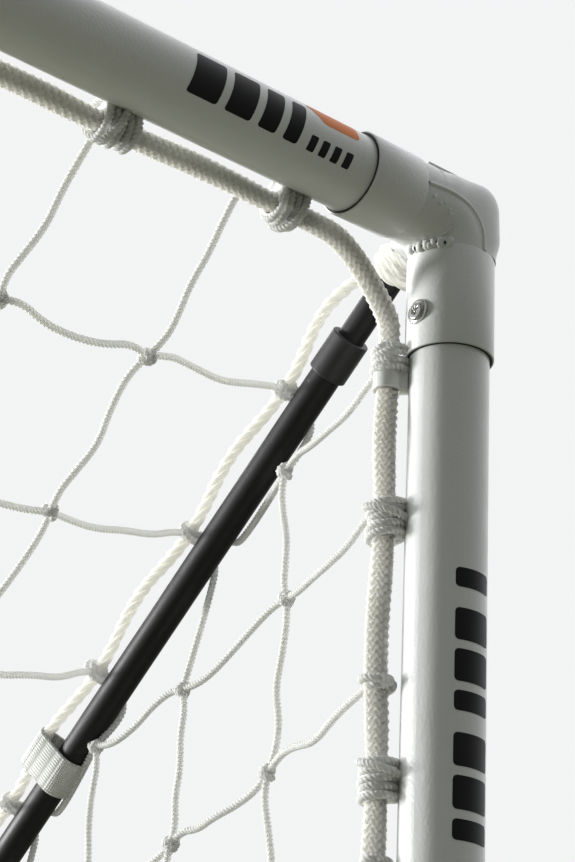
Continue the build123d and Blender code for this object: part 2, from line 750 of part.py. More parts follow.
width = 2 * (net_x - net_thickness / 2 - net_clear)
rear_plane = Plane(
    origin=(rear_net_top + rear_net_low) / 2, x_dir=Vector(1, 0, 0), z_dir=net_up
)
keep("net_rear", rear_plane * Box(width, (rear_net_low - rear_net_top).length, net_thickness))

# ------------------------------------------------------------------ write the pieces
os.makedirs("parts", exist_ok=True)
for name, shape in made.items():
    if not isinstance(shape, Compound):
        shape = Compound(children=list(shape.solids())) if len(shape.solids()) > 1 else shape.solid()
    shape.label = name
    export_step(shape, f"parts/{name}.step")
print(len(made), "pieces; stay falls", round(stay_slope, 4), "stay length", round(stay_length, 1))
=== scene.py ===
"""Portable soccer goal: ropes, net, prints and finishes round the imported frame.

Metres, in the frame's own axes: +X along the crossbar, +Y to the back, +Z up.
"""

import json
import math
import random

import bmesh
import bpy
import numpy as np
from mathutils import Matrix, Quaternion, Vector


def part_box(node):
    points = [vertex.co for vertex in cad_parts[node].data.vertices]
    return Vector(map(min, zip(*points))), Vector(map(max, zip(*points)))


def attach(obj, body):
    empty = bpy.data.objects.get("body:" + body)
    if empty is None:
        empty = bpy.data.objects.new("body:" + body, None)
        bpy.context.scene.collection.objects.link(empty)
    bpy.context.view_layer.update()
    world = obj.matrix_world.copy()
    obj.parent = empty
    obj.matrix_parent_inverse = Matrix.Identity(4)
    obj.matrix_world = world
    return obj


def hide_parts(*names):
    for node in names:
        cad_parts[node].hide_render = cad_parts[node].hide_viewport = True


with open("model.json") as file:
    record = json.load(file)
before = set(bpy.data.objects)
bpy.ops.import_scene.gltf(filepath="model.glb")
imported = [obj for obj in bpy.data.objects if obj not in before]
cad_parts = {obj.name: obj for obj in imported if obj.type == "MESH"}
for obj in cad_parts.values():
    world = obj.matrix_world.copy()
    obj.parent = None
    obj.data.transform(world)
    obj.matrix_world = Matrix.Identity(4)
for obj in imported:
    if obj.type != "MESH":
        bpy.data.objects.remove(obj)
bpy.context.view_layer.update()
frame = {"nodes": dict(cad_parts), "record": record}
nodes = frame["nodes"]
scene = bpy.context.scene

# ------------------------------------------------------------------ places read from the frame


def middle(node):
    """The middle of a node's box."""
    low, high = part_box(node)
    return (low + high) / 2


post_low, post_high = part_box("post_right")
post_x = (post_low.x + post_high.x) / 2
front_y = (post_low.y + post_high.y) / 2
bar_z = middle("crossbar_right").z
tube_radius = (post_high.x - post_low.x) / 2
corner = Vector((post_x, front_y, bar_z))

stub_middle = middle("stay_stub_right")
stay_way = (middle("stay_tube_right") - stub_middle).normalized()
stay_up = Vector((0, -stay_way.z, stay_way.y))
stay_start = stub_middle - stay_way * ((stub_middle.y - front_y) / stay_way.y)
stay_radius = (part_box("stay_tube_right")[1].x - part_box("stay_tube_right")[0].x) / 2

mouth_low, mouth_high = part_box("mouth_rope")
rope_width = mouth_high.y - mouth_low.y
rope_x = mouth_high.x - rope_width / 2
rope_y = (mouth_low.y + mouth_high.y) / 2
rope_z = mouth_high.z - rope_width / 2
base_low, base_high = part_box("base_rope")
base_width = base_high.z - base_low.z
base_x = base_high.x - base_width / 2
base_y = base_high.y - base_width / 2
base_z = (base_low.z + base_high.z) / 2
stay_rope_low, stay_rope_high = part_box("stay_rope_right")
stay_rope_x = (stay_rope_low.x + stay_rope_high.x) / 2

# ------------------------------------------------------------------ sizes that the frame doesn't hold
bar_clip_start = 0.098       # first crossbar clip, from the corner
bar_clip_pitch = 0.110
bar_clips_each_side = 8
post_clip_drops = (0.084, 0.173, 0.308)
post_clip_pitch = 0.112
post_clips_each_side = 9
stay_rope_rise = 0.0135      # seam rope above the stay's centre line
cord_radius = 0.00205        # net cord
seam_start = 0.148           # first net knot on the seam rope, along the stay
seam_pitch = 0.1030
row_start = 0.125            # first row of the back panel, down the slope
row_pitch = 0.1003
rows = 17
column_inset = 0.018         # outermost column of the back panel, from the corner
columns = 18
net_drop = 0.010             # back panel below the corner, at the mouth
detail_reach = 0.56          # net this near the right corner is drawn strand by strand
strap_places = (0.417, 0.760, 1.120, 1.480)

# ------------------------------------------------------------------ small tools


def as_mesh(data):
    """A curve's shape as a mesh."""
    holder = bpy.data.objects.new(data.name, data)
    scene.collection.objects.link(holder)
    shape = holder.evaluated_get(bpy.context.evaluated_depsgraph_get())
    mesh = bpy.data.meshes.new_from_object(shape)
    bpy.data.objects.remove(holder)
    bpy.data.curves.remove(data)
    return mesh


def smooth_lines(routes, resolution=12):
    """The points that follow each route's own NURBS spline."""
    data = bpy.data.curves.new("routes", "CURVE")
    data.dimensions = "3D"
    data.resolution_u = resolution
    for route in routes:
        spline = data.splines.new("NURBS")
        spline.points.add(len(route) - 1)
        for point, place in zip(spline.points, route):
            point.co = (*place, 1.0)
        spline.order_u = 3
        spline.use_endpoint_u = True
    mesh = as_mesh(data)
    places = np.array([vertex.co for vertex in mesh.vertices])
    linked = {min(edge.vertices) for edge in mesh.edges}
    breaks = [index + 1 for index in range(len(places) - 1) if index not in linked]
    bpy.data.meshes.remove(mesh)
    return np.split(places, breaks)


def spaced(points, step):
    """The same line with evenly spaced points, and each point's distance along it."""
    runs = np.linalg.norm(np.diff(points, axis=0), axis=1)
    along = np.concatenate([[0.0], np.cumsum(runs)])
    even = np.linspace(0.0, along[-1], max(3, int(round(along[-1] / step)) + 1))
    return np.column_stack([np.interp(even, along, points[:, axis]) for axis in range(3)]), even


def frames(points, side):
    """Two directions square to a line at each of its points; the first keeps near to side."""
    ways = np.gradient(points, axis=0)
    ways /= np.linalg.norm(ways, axis=1)[:, None]
    side = np.array(side, float)
    across = side - ways * (ways @ side)[:, None]
    across /= np.linalg.norm(across, axis=1)[:, None]
    return across, np.cross(ways, across)


def wander(seed, wavelength, size):
    """A smooth random function of the distance along a line."""
    source = random.Random(seed)
    waves = [
        (size * share, 2 * math.pi / (wavelength * stretch), source.uniform(0, 2 * math.pi))
        for share, stretch in ((0.6, 1.0), (0.3, 0.57), (0.2, 0.31))
    ]
    return lambda along: sum(height * np.sin(rate * along + start) for height, rate, start in waves)


def set_lengths(mesh, lengths, faces_each):
    """Makes the first UV coordinate of each swept line its real distance along, in metres."""
    layer = mesh.uv_layers[0].uv
    values = np.zeros(len(layer) * 2, np.float32)
    layer.foreach_get("vector", values)
    values = values.reshape(-1, 2)
    start = 0
    for length, faces in zip(lengths, faces_each):
        values[start:start + faces * 4, 0] *= length
        start += faces * 4
    layer.foreach_set("vector", values.ravel())


def sweep(name, paths, radius, sides=6, closed=False, profile=None, lay=None):
    """Round or profiled cords along given points, as one mesh with lengths in its UV map."""
    data = bpy.data.curves.new(name, "CURVE")
    data.dimensions = "3D"
    data.twist_mode = "MINIMUM"
    if profile:
        data.bevel_mode = "OBJECT"
        data.bevel_object = profile
        sides = len(profile.data.splines[0].points)
    else:
        data.bevel_depth = radius
        data.bevel_resolution = (sides - 4) // 2
    lengths, faces_each = [], []
    for path in paths:
        spline = data.splines.new("POLY")
        spline.points.add(len(path) - 1)
        spline.points.foreach_set("co", np.column_stack([path, np.ones(len(path))]).ravel())
        spline.use_cyclic_u = closed
        runs = np.linalg.norm(np.diff(path, axis=0), axis=1)
        if lay:
            turned = np.concatenate([[0.0], np.cumsum(runs)]) * (2 * math.pi / lay)
            spline.points.foreach_set("tilt", turned)
        lengths.append(float(runs.sum()))
        faces_each.append((len(path) - (0 if closed else 1)) * sides)
    mesh = as_mesh(data)
    set_lengths(mesh, lengths, faces_each)
    mesh.name = name
    return mesh


def piece(name, meshes, finish, stands_for=(), body="frame"):
    """One object made of the given meshes, riding on a body of the frame."""
    work = bmesh.new()
    for mesh in meshes:
        work.from_mesh(mesh)
        bpy.data.meshes.remove(mesh)
    whole = bpy.data.meshes.new(name)
    work.to_mesh(whole)
    work.free()
    whole.materials.clear()
    whole.materials.append(finish)
    whole.polygons.foreach_set("material_index", [0] * len(whole.polygons))
    made = bpy.data.objects.new(name, whole)
    scene.collection.objects.link(made)
    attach(made, body)
    if stands_for:
        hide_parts(*stands_for)
    return made


# ------------------------------------------------------------------ camera, light and floor
camera_offset = Vector((-0.74228, -0.77729, -0.61670))   # from the corner
camera_turn = math.radians(39.29)                        # right of straight ahead
camera_pitch = math.radians(24.548)                      # upwards
camera_roll = math.radians(2.813)
camera_lens = 96.06
ahead = Vector((
    math.sin(camera_turn) * math.cos(camera_pitch),
    math.cos(camera_turn) * math.cos(camera_pitch),
    math.sin(camera_pitch),
))

camera_data = bpy.data.cameras.new("camera")
camera_data.lens = camera_lens
camera_data.clip_start = 0.05
camera_data.clip_end = 60.0
camera = bpy.data.objects.new("camera", camera_data)
scene.collection.objects.link(camera)
camera.location = corner + camera_offset
camera.rotation_mode = "QUATERNION"
camera.rotation_quaternion = ahead.to_track_quat("-Z", "Y") @ Quaternion((0, 0, 1), camera_roll)
scene.camera = camera
scene.view_settings.view_transform = "Standard"


def shader(tree, kind, inputs=None, **settings):
    """A new shader node with its settings and inputs; an input may be another node's output."""
    made = tree.nodes.new("ShaderNode" + kind)
    for name, value in settings.items():
        setattr(made, name, value)
    for name, value in (inputs or {}).items():
        if isinstance(value, bpy.types.NodeSocket):
            tree.links.new(value, made.inputs[name])
        else:
            made.inputs[name].default_value = value
    return made


def ramp(tree, value, stops):
    """A colour ramp with the given (place, colour) stops."""
    made = shader(tree, "ValToRGB", {"Fac": value})
    points = made.color_ramp.elements
    while len(points) < len(stops):
        points.new(0.5)
    for point, (place, colour) in zip(points, stops):
        point.position = place
        point.color = (*colour, 1.0)
    return made.outputs["Color"]


def build_sky():
    """Overcast studio sky: bright above and behind the goal, darker and warmer below it."""
    world = bpy.data.worlds.new("studio sky")
    scene.world = world
    world.use_nodes = True
    tree = world.node_tree
    tree.nodes.clear()
    way = shader(tree, "TexCoord").outputs["Generated"]
    height = shader(tree, "SeparateXYZ", {"Vector": way}).outputs["Z"]
    lifted = shader(tree, "MapRange", {"Value": height, "From Min": -1.0, "From Max": 1.0}).outputs["Result"]
    colour = ramp(tree, lifted, (
        (0.00, (0.17, 0.18, 0.13)),
        (0.44, (0.21, 0.215, 0.175)),
        (0.51, (0.55, 0.56, 0.56)),
        (0.68, (0.95, 0.97, 1.00)),
        (1.00, (1.00, 1.00, 1.02)),
    ))
    facing = shader(tree, "VectorMath", {0: way, 1: tuple(ahead)}, operation="DOT_PRODUCT").outputs["Value"]
    behind = shader(tree, "MapRange", {
        "Value": facing, "From Min": -0.25, "From Max": 0.80, "To Min": 0.24, "To Max": 1.40,
    }, interpolation_type="SMOOTHSTEP").outputs["Result"]
    sky = shader(tree, "Background", {"Color": colour, "Strength": behind})
    plain = shader(tree, "Background", {"Color": (0.895, 0.900, 0.905, 1.0), "Strength": 1.0})
    seen = shader(tree, "LightPath").outputs["Is Camera Ray"]
    mixed = shader(tree, "MixShader", {0: seen, 1: sky.outputs[0], 2: plain.outputs[0]})
    shader(tree, "OutputWorld", {"Surface": mixed.outputs[0]})


def area_light(name, place, aim, width, power, colour=(1.0, 1.0, 1.0)):
    """A large soft lamp at a place, turned to its aim."""
    data = bpy.data.lights.new(name, "AREA")
    data.shape = "DISK"
    data.size = width
    data.energy = power
    data.color = colour
    lamp = bpy.data.objects.new(name, data)
    scene.collection.objects.link(lamp)
    lamp.location = place
    lamp.rotation_mode = "QUATERNION"
    lamp.rotation_quaternion = (Vector(aim) - Vector(place)).to_track_quat("-Z", "Y")


def build_floor():
    """Pale floor under the goal; it throws back little light, as turf does."""
    half_floor = 30.0
    work = bmesh.new()
    bmesh.ops.create_grid(work, x_segments=1, y_segments=1, size=half_floor)
    mesh = bpy.data.meshes.new("floor")
    work.to_mesh(mesh)
    work.free()
    finish = bpy.data.materials.new("pale floor")
    finish.use_nodes = True
    tree = finish.node_tree
    tree.nodes.clear()
    pale = shader(tree, "BsdfDiffuse", {"Color": (0.22, 0.225, 0.22, 1.0)})
    turf = shader(tree, "BsdfDiffuse", {"Color": (0.15, 0.155, 0.115, 1.0)})
    seen = shader(tree, "LightPath").outputs["Is Camera Ray"]
    mixed = shader(tree, "MixShader", {0: seen, 1: turf.outputs[0], 2: pale.outputs[0]})
    shader(tree, "OutputMaterial", {"Surface": mixed.outputs[0]})
    mesh.materials.append(finish)
    floor = bpy.data.objects.new("floor", mesh)
    scene.collection.objects.link(floor)


build_sky()
build_floor()
area_light("back light", (0.8, 3.4, 3.6), corner, 2.0, 60)
area_light("left light", (-1.66, 2.73, 1.3), corner, 1.1, 270)

# ------------------------------------------------------------------ shared surface effects


def new_group(name, inputs, outputs):
    """An empty node group with its named sockets; returns the tree, its inputs and its output node."""
    tree = bpy.data.node_groups.new(name, "ShaderNodeTree")
    for label, value in inputs.items():
        socket = tree.interface.new_socket(label, in_out="INPUT", socket_type="NodeSocketFloat")
        socket.default_value = value
    for label in outputs:
        tree.interface.new_socket(label, in_out="OUTPUT", socket_type="NodeSocketFloat")
    start = tree.nodes.new("NodeGroupInput")
    end = tree.nodes.new("NodeGroupOutput")
    return tree, start.outputs, end


def use_group(tree, name, **values):
    """Places a shared effect in a material with its own values, and returns its outputs."""
    made = tree.nodes.new("ShaderNodeGroup")
    made.node_tree = bpy.data.node_groups[name]
    for label, value in values.items():
        made.inputs[label.replace("_", " ")].default_value = value
    return made.outputs


def math_node(tree, operation, first, second=0.0):
    return shader(tree, "Math", {0: first, 1: second}, operation=operation).outputs[0]


def build_coat_group():
    """Powder coat: fine orange peel, specks of dust and slow patches of dirt."""
    tree, given, end = new_group(
        "coat surface",
        {"Peel Scale": 900.0, "Speck Scale": 120.0, "Speck Share": 0.05, "Patch Scale": 14.0},
        ("Height", "Specks", "Patches", "Scuffs"),
    )
    place = shader(tree, "TexCoord").outputs["Object"]
    peel = shader(tree, "TexNoise", {"Vector": place, "Scale": given["Peel Scale"], "Detail": 2.0})
    slow_scale = math_node(tree, "MULTIPLY", given["Peel Scale"], 0.22)
    slow = shader(tree, "TexNoise", {"Vector": place, "Scale": slow_scale, "Detail": 1.0})
    slow_part = math_node(tree, "MULTIPLY", slow.outputs["Fac"], 0.8)
    height = math_node(tree, "ADD", peel.outputs["Fac"], slow_part)
    cells = shader(tree, "TexVoronoi", {"Vector": place, "Scale": given["Speck Scale"], "Randomness": 1.0})
    lucky = shader(tree, "SeparateColor", {"Color": cells.outputs["Color"]}).outputs["Red"]
    chosen = math_node(tree, "LESS_THAN", lucky, given["Speck Share"])
    near = shader(tree, "MapRange", {
        "Value": cells.outputs["Distance"], "From Min": 0.05, "From Max": 0.14, "To Min": 1.0, "To Max": 0.0,
    }).outputs["Result"]
    specks = math_node(tree, "MULTIPLY", chosen, near)
    patches = shader(tree, "TexNoise", {
        "Vector": place, "Scale": given["Patch Scale"], "Detail": 5.0, "Roughness": 0.6,
    }).outputs["Fac"]
    soft = shader(tree, "MapRange", {"Value": patches, "From Min": 0.42, "From Max": 0.72})
    streaks_place = shader(tree, "Mapping", {"Vector": place, "Scale": (1.0, 1.0, 0.12)})
    streaks = shader(tree, "TexNoise", {
        "Vector": streaks_place.outputs[0], "Scale": 260.0, "Detail": 3.0, "Distortion": 0.6,
    }).outputs["Fac"]
    scuffs = shader(tree, "MapRange", {"Value": streaks, "From Min": 0.68, "From Max": 0.74})
    masked = math_node(tree, "MULTIPLY", scuffs.outputs[0], soft.outputs[0])
    parts = (("Height", height), ("Specks", specks), ("Patches", soft.outputs[0]), ("Scuffs", masked))
    for label, value in parts:
        tree.links.new(value, end.inputs[label])


def build_fibre_group():
    """Fine filaments that run along a strand, with a Shade mask for painted shade between them, and slow soiling
    over the whole cord.
    """
    tree, given, end = new_group(
        "fibres",
        {"Filaments": 16.0, "Filament Length": 90.0, "Soil Scale": 22.0},
        ("Height", "Shade", "Soil"),
    )
    along = shader(tree, "SeparateXYZ", {"Vector": shader(tree, "TexCoord").outputs["UV"]})
    turned = math_node(tree, "MULTIPLY", along.outputs["X"], given["Filament Length"])
    angle = math_node(tree, "MULTIPLY", along.outputs["Y"], 2 * math.pi)
    wide = math_node(tree, "MULTIPLY", math_node(tree, "COSINE", angle), given["Filaments"])
    deep = math_node(tree, "MULTIPLY", math_node(tree, "SINE", angle), given["Filaments"])
    place = shader(tree, "CombineXYZ", {"X": turned, "Y": wide, "Z": deep}).outputs[0]
    lines = shader(tree, "TexNoise", {"Vector": place, "Scale": 0.35, "Detail": 3.0, "Roughness": 0.6})
    solid = shader(tree, "TexCoord").outputs["Object"]
    soil = shader(tree, "TexNoise", {"Vector": solid, "Scale": given["Soil Scale"], "Detail": 4.0})
    soft = shader(tree, "MapRange", {"Value": soil.outputs["Fac"], "From Min": 0.45, "From Max": 0.75})
    fuzz = shader(tree, "TexNoise", {"Vector": solid, "Scale": 1800.0, "Detail": 2.0})
    soft_fuzz = math_node(tree, "MULTIPLY", fuzz.outputs["Fac"], 0.35)
    height = math_node(tree, "ADD", lines.outputs["Fac"], soft_fuzz)
    for label, value in (("Height", height), ("Shade", lines.outputs["Fac"]), ("Soil", soft.outputs[0])):
        tree.links.new(value, end.inputs[label])


def build_lay_group():
    """The three-strand twist of a laid cord, drawn on a plain round one, with a mask for painted shade in the
    grooves between the strands.
    """
    tree, given, end = new_group("cord lay", {"Pitch": 0.007}, ("Height", "Groove"))
    along = shader(tree, "SeparateXYZ", {"Vector": shader(tree, "TexCoord").outputs["UV"]})
    turns = math_node(tree, "DIVIDE", along.outputs["X"], given["Pitch"])
    phase = math_node(tree, "ADD", turns, along.outputs["Y"])
    angle = math_node(tree, "MULTIPLY", phase, 3 * math.pi)
    bump = math_node(tree, "ABSOLUTE", math_node(tree, "SINE", angle))
    # mask for painted shade: highest in the grooves between the drawn strands
    groove_shade = shader(tree, "MapRange", {
        "Value": bump, "From Min": 0.0, "From Max": 0.5, "To Min": 1.0, "To Max": 0.0})
    tree.links.new(bump, end.inputs["Height"])
    tree.links.new(groove_shade.outputs[0], end.inputs["Groove"])


build_coat_group()
build_fibre_group()
build_lay_group()

# ------------------------------------------------------------------ finishes
finishes = {}


def new_finish(name):
    """A material with a Principled shader, ready for its nodes."""
    made = bpy.data.materials.new(name)
    made.use_nodes = True
    tree = made.node_tree
    tree.nodes.clear()
    surface = tree.nodes.new("ShaderNodeBsdfPrincipled")
    shader(tree, "OutputMaterial", {"Surface": surface.outputs[0]})
    finishes[name] = made
    return tree, surface


def mix_colour(tree, share, first, second):
    """Blends two colours by a mask."""
    made = shader(tree, "Mix", data_type="RGBA")
    for socket, value in ((made.inputs[0], share), (made.inputs[6], first), (made.inputs[7], second)):
        if isinstance(value, bpy.types.NodeSocket):
            tree.links.new(value, socket)
        else:
            socket.default_value = value if isinstance(value, float) else (*value, 1.0)
    return made.outputs[2]


def bump(tree, surface, height, strength, distance):
    made = shader(tree, "Bump", {"Height": height, "Strength": strength, "Distance": distance})
    tree.links.new(made.outputs[0], surface.inputs["Normal"])


def coat_finish(name, colour, dirt, speck, rough, gloss_range, peel, depth, share=0.05, scuff=None):
    """Powder-coated steel or moulded plastic with its texture, dust and dirt."""
    tree, surface = new_finish(name)
    coat = use_group(tree, "coat surface", Peel_Scale=peel, Speck_Share=share)
    soiled = mix_colour(tree, math_node(tree, "MULTIPLY", coat["Patches"], 0.35), colour, dirt)
    scuffed = mix_colour(tree, math_node(tree, "MULTIPLY", coat["Scuffs"], 0.5), soiled, scuff or dirt)
    specked = mix_colour(tree, math_node(tree, "MULTIPLY", coat["Specks"], 0.8), scuffed, speck)
    tree.links.new(specked, surface.inputs["Base Color"])
    gloss = shader(tree, "MapRange", {
        "Value": coat["Patches"], "To Min": rough, "To Max": rough + gloss_range,
    }).outputs[0]
    tree.links.new(gloss, surface.inputs["Roughness"])
    bump(tree, surface, coat["Height"], 0.55, depth)
    return tree, surface


coat_finish(
    "white_powder_coat", (0.790, 0.800, 0.795), (0.70, 0.705, 0.68), (0.30, 0.29, 0.26),
    rough=0.33, gloss_range=0.14, peel=620.0, depth=0.00026, share=0.022, scuff=(0.58, 0.58, 0.56),
)[1].inputs["Coat Weight"].default_value = 0.12
coat_finish(
    "black_powder_coat", (0.009, 0.009, 0.010), (0.022, 0.022, 0.023), (0.20, 0.20, 0.19),
    rough=0.46, gloss_range=0.16, peel=900.0, depth=0.00012, share=0.03, scuff=(0.07, 0.07, 0.07),
)[1].inputs["Specular IOR Level"].default_value = 0.3
coat_finish(
    "black_collar", (0.016, 0.016, 0.018), (0.035, 0.035, 0.036), (0.22, 0.22, 0.21),
    rough=0.46, gloss_range=0.12, peel=1500.0, depth=0.00006, share=0.02, scuff=(0.06, 0.06, 0.06),
)
coat_finish(
    "rubber_foot", (0.022, 0.022, 0.023), (0.07, 0.066, 0.058), (0.25, 0.24, 0.20),
    rough=0.72, gloss_range=0.14, peel=1100.0, depth=0.0002, share=0.05, scuff=(0.10, 0.095, 0.085),
)
nylon = coat_finish(
    "net_clip", (0.80, 0.81, 0.79), (0.68, 0.68, 0.64), (0.42, 0.41, 0.37),
    rough=0.36, gloss_range=0.14, peel=1300.0, depth=0.00006, share=0.02, scuff=(0.6, 0.6, 0.58),
)[1]
nylon.inputs["Subsurface Weight"].default_value = 0.25
nylon.inputs["Subsurface Radius"].default_value = (1.0, 1.0, 0.9)
nylon.inputs["Subsurface Scale"].default_value = 0.004


def metal_finish(name, bright, dull, rough, scale):
    """Plated steel: brushed variation in its gloss and faint clouding."""
    tree, surface = new_finish(name)
    coat = use_group(tree, "coat surface", Peel_Scale=scale, Speck_Share=0.03)
    tree.links.new(mix_colour(tree, coat["Patches"], bright, dull), surface.inputs["Base Color"])
    surface.inputs["Metallic"].default_value = 1.0
    gloss = shader(tree, "MapRange", {
        "Value": coat["Height"], "From Max": 1.6, "To Min": rough, "To Max": rough + 0.16})
    tree.links.new(gloss.outputs[0], surface.inputs["Roughness"])
    bump(tree, surface, coat["Height"], 0.3, 0.00004)


metal_finish("screw_chrome", (0.62, 0.62, 0.62), (0.46, 0.45, 0.43), 0.09, 1600.0)
metal_finish("zinc_steel", (0.60, 0.61, 0.60), (0.44, 0.45, 0.43), 0.30, 1000.0)


def let_light_through(tree, surface, colour, share):
    """Mixes in light that comes through from behind, as in loose white fibres."""
    out = next(node for node in tree.nodes if node.type == "OUTPUT_MATERIAL")
    through = shader(tree, "BsdfTranslucent", {"Color": colour})
    mixed = shader(tree, "MixShader", {0: share, 1: surface.outputs[0], 2: through.outputs[0]})
    shadow = math_node(tree, "MULTIPLY", shader(tree, "LightPath").outputs["Is Shadow Ray"], 0.75)
    clear = shader(tree, "BsdfTransparent")
    whole = shader(tree, "MixShader", {0: shadow, 1: mixed.outputs[0], 2: clear.outputs[0]})
    tree.links.new(whole.outputs[0], out.inputs["Surface"])


def fibre_finish(name, colour, shade, soil, filaments, depth, lay=False, soil_share=0.4, through=0.36):
    """White synthetic fibre: filaments along each strand, with painted shade between them, slightly soiled."""
    tree, surface = new_finish(name)
    fibre = use_group(tree, "fibres", Filaments=filaments)
    # painted shade: the colour darkens toward the shade colour in the gaps between filaments
    dark = math_node(tree, "MULTIPLY", math_node(tree, "SUBTRACT", 1.0, fibre["Shade"]), 0.75)
    lined = mix_colour(tree, dark, colour, shade)
    height = fibre["Height"]
    if lay:
        twist = use_group(tree, "cord lay")
        # painted shade: the colour darkens in the drawn grooves between the strands
        lined = mix_colour(tree, math_node(tree, "MULTIPLY", twist["Groove"], 0.6), lined, shade)
        height = math_node(tree, "ADD", math_node(tree, "MULTIPLY", twist["Height"], 3.0), height)
    soiled = mix_colour(tree, math_node(tree, "MULTIPLY", fibre["Soil"], soil_share), lined, soil)
    tree.links.new(soiled, surface.inputs["Base Color"])
    rough = shader(tree, "MapRange", {"Value": fibre["Shade"], "To Min": 0.52, "To Max": 0.78}).outputs[0]
    tree.links.new(rough, surface.inputs["Roughness"])
    surface.inputs["Sheen Weight"].default_value = 0.4
    surface.inputs["Sheen Roughness"].default_value = 0.5
    surface.inputs["Subsurface Weight"].default_value = 0.5
    surface.inputs["Subsurface Radius"].default_value = (1.0, 0.98, 0.90)
    surface.inputs["Subsurface Scale"].default_value = 0.0035
    bump(tree, surface, height, 0.7, depth)
    let_light_through(tree, surface, soiled, through)


fibre_finish("braided_rope", (0.93, 0.925, 0.89), (0.74, 0.735, 0.68), (0.80, 0.785, 0.70), 12.0, 0.00025)
fibre_finish("net_cord", (0.86, 0.865, 0.85), (0.50, 0.505, 0.47), (0.70, 0.69, 0.63), 9.0, 0.00022, through=0.24)
fibre_finish("plain_net_cord", (0.86, 0.865, 0.85), (0.50, 0.505, 0.47), (0.70, 0.69, 0.63), 9.0, 0.0003, lay=True,
             through=0.24)


def build_webbing():
    """White woven strap: ribs across it."""
    tree, surface = new_finish("net_band")
    fibre = use_group(tree, "fibres", Filaments=30.0)
    place = shader(tree, "SeparateXYZ", {"Vector": shader(tree, "TexCoord").outputs["UV"]})
    ribs = math_node(tree, "ABSOLUTE", math_node(
        tree, "SINE", math_node(tree, "MULTIPLY", place.outputs["X"], math.pi / 0.0016)))
    warp = math_node(tree, "ABSOLUTE", math_node(
        tree, "SINE", math_node(tree, "MULTIPLY", place.outputs["Y"], math.pi * 44)))
    woven = math_node(tree, "MULTIPLY", ribs, math_node(tree, "ADD", warp, 0.35))
    # painted shade: the weave's hollows take the darker colour
    shaded = mix_colour(tree, woven, (0.55, 0.56, 0.53), (0.84, 0.845, 0.83))
    soiled = mix_colour(tree, math_node(tree, "MULTIPLY", fibre["Soil"], 0.45), shaded, (0.62, 0.61, 0.56))
    tree.links.new(soiled, surface.inputs["Base Color"])
    rough = shader(tree, "MapRange", {"Value": woven, "To Min": 0.82, "To Max": 0.62}).outputs[0]
    tree.links.new(rough, surface.inputs["Roughness"])
    surface.inputs["Sheen Weight"].default_value = 0.3
    bump(tree, surface, woven, 0.8, 0.0003)


def ink_finish(name, colour, worn):
    """Printed film: dense ink with pinholes and slightly rubbed places."""
    tree, surface = new_finish(name)
    coat = use_group(tree, "coat surface", Peel_Scale=1400.0, Speck_Scale=420.0, Speck_Share=0.12)
    rubbed = mix_colour(tree, math_node(tree, "MULTIPLY", coat["Patches"], 0.3), colour, worn)
    holed = mix_colour(tree, math_node(tree, "MULTIPLY", coat["Specks"], 0.5), rubbed, worn)
    tree.links.new(holed, surface.inputs["Base Color"])
    gloss = shader(tree, "MapRange", {"Value": coat["Patches"], "To Min": 0.42, "To Max": 0.58}).outputs[0]
    tree.links.new(gloss, surface.inputs["Roughness"])
    surface.inputs["Specular IOR Level"].default_value = 0.2
    bump(tree, surface, coat["Height"], 0.5, 0.00006)


build_webbing()
ink_finish("black_print", (0.012, 0.012, 0.014), (0.045, 0.045, 0.047))
ink_finish("orange_print", (0.92, 0.22, 0.004), (0.88, 0.30, 0.03))

for part in frame["record"]["subparts"]:
    for slot in nodes[part["node"]].material_slots:
        slot.material = finishes[part["material_slot"]]

# ------------------------------------------------------------------ clips and lashings


def post_clip_heights():
    """Heights of the clips on a post, from the top."""
    drops = list(post_clip_drops)
    while len(drops) < post_clips_each_side:
        drops.append(drops[-1] + post_clip_pitch)
    return [bar_z - drop for drop in drops]


def bar_clip_places():
    """Distances of the crossbar clips from the middle of the goal, on one side."""
    return [post_x - bar_clip_start - bar_clip_pitch * index for index in range(bar_clips_each_side)]


def near_corner(place, reach=detail_reach):
    """True close to the right top corner."""
    return (Vector(place) - corner).length < reach


def lobed_profile(radius):
    """The outline of a three-strand cord, to be swept with a twist."""
    data = bpy.data.curves.new("cord profile", "CURVE")
    data.dimensions = "2D"
    spline = data.splines.new("POLY")
    corners = 12
    spline.points.add(corners - 1)
    for index, point in enumerate(spline.points):
        angle = 2 * math.pi * index / corners
        reach = radius * (0.78 + 0.29 * abs(math.cos(1.5 * angle)))
        point.co = (reach * math.cos(angle), reach * math.sin(angle), 0.0, 1.0)
    spline.use_cyclic_u = True
    return bpy.data.objects.new("cord profile", data)


cord_profile = lobed_profile(cord_radius)
cord_lay = 0.0072


def coil(place, way, side, ring, turns, seed, deep=1.0):
    """A lashing: a cord wound round a rope and its clip, with one turn laid back across the others."""
    source = random.Random(seed)
    way, side = Vector(way).normalized(), Vector(side).normalized()
    other = way.cross(side)
    pitch = cord_radius * 2.05
    points = []
    steps = 26
    first = source.uniform(0, 2 * math.pi)
    wobble = [source.uniform(-1, 1) for _ in range(int(turns) + 2)]
    for step in range(int(turns * steps) + 1):
        turn = step / steps
        angle = first + 2 * math.pi * turn
        level = (turn - turns / 2) * pitch + 0.0007 * math.sin(angle + wobble[int(turn)] * 2)
        lift = ring + 0.0006 * wobble[int(turn)] + 0.0004 * math.sin(2 * angle)
        points.append(place + way * level + (side * math.cos(angle) + other * deep * math.sin(angle)) * lift)
    end_angle = first + 2 * math.pi * turns
    back_steps = 14
    for step in range(1, back_steps + 1):
        share = step / back_steps
        angle = end_angle + share * 1.9 * math.pi
        level = (0.5 - share) * turns * pitch
        lift = ring + cord_radius * 1.7 * math.sin(math.pi * min(1.0, share * 1.15))
        points.append(place + way * level + (side * math.cos(angle) + other * deep * math.sin(angle)) * lift)
    return np.array([tuple(point) for point in points])


def hitch(place, way, side, ring, seed):
    """A short two-turn hitch of net cord round a rope."""
    return coil(Vector(place), way, side, ring, 1.6, seed)


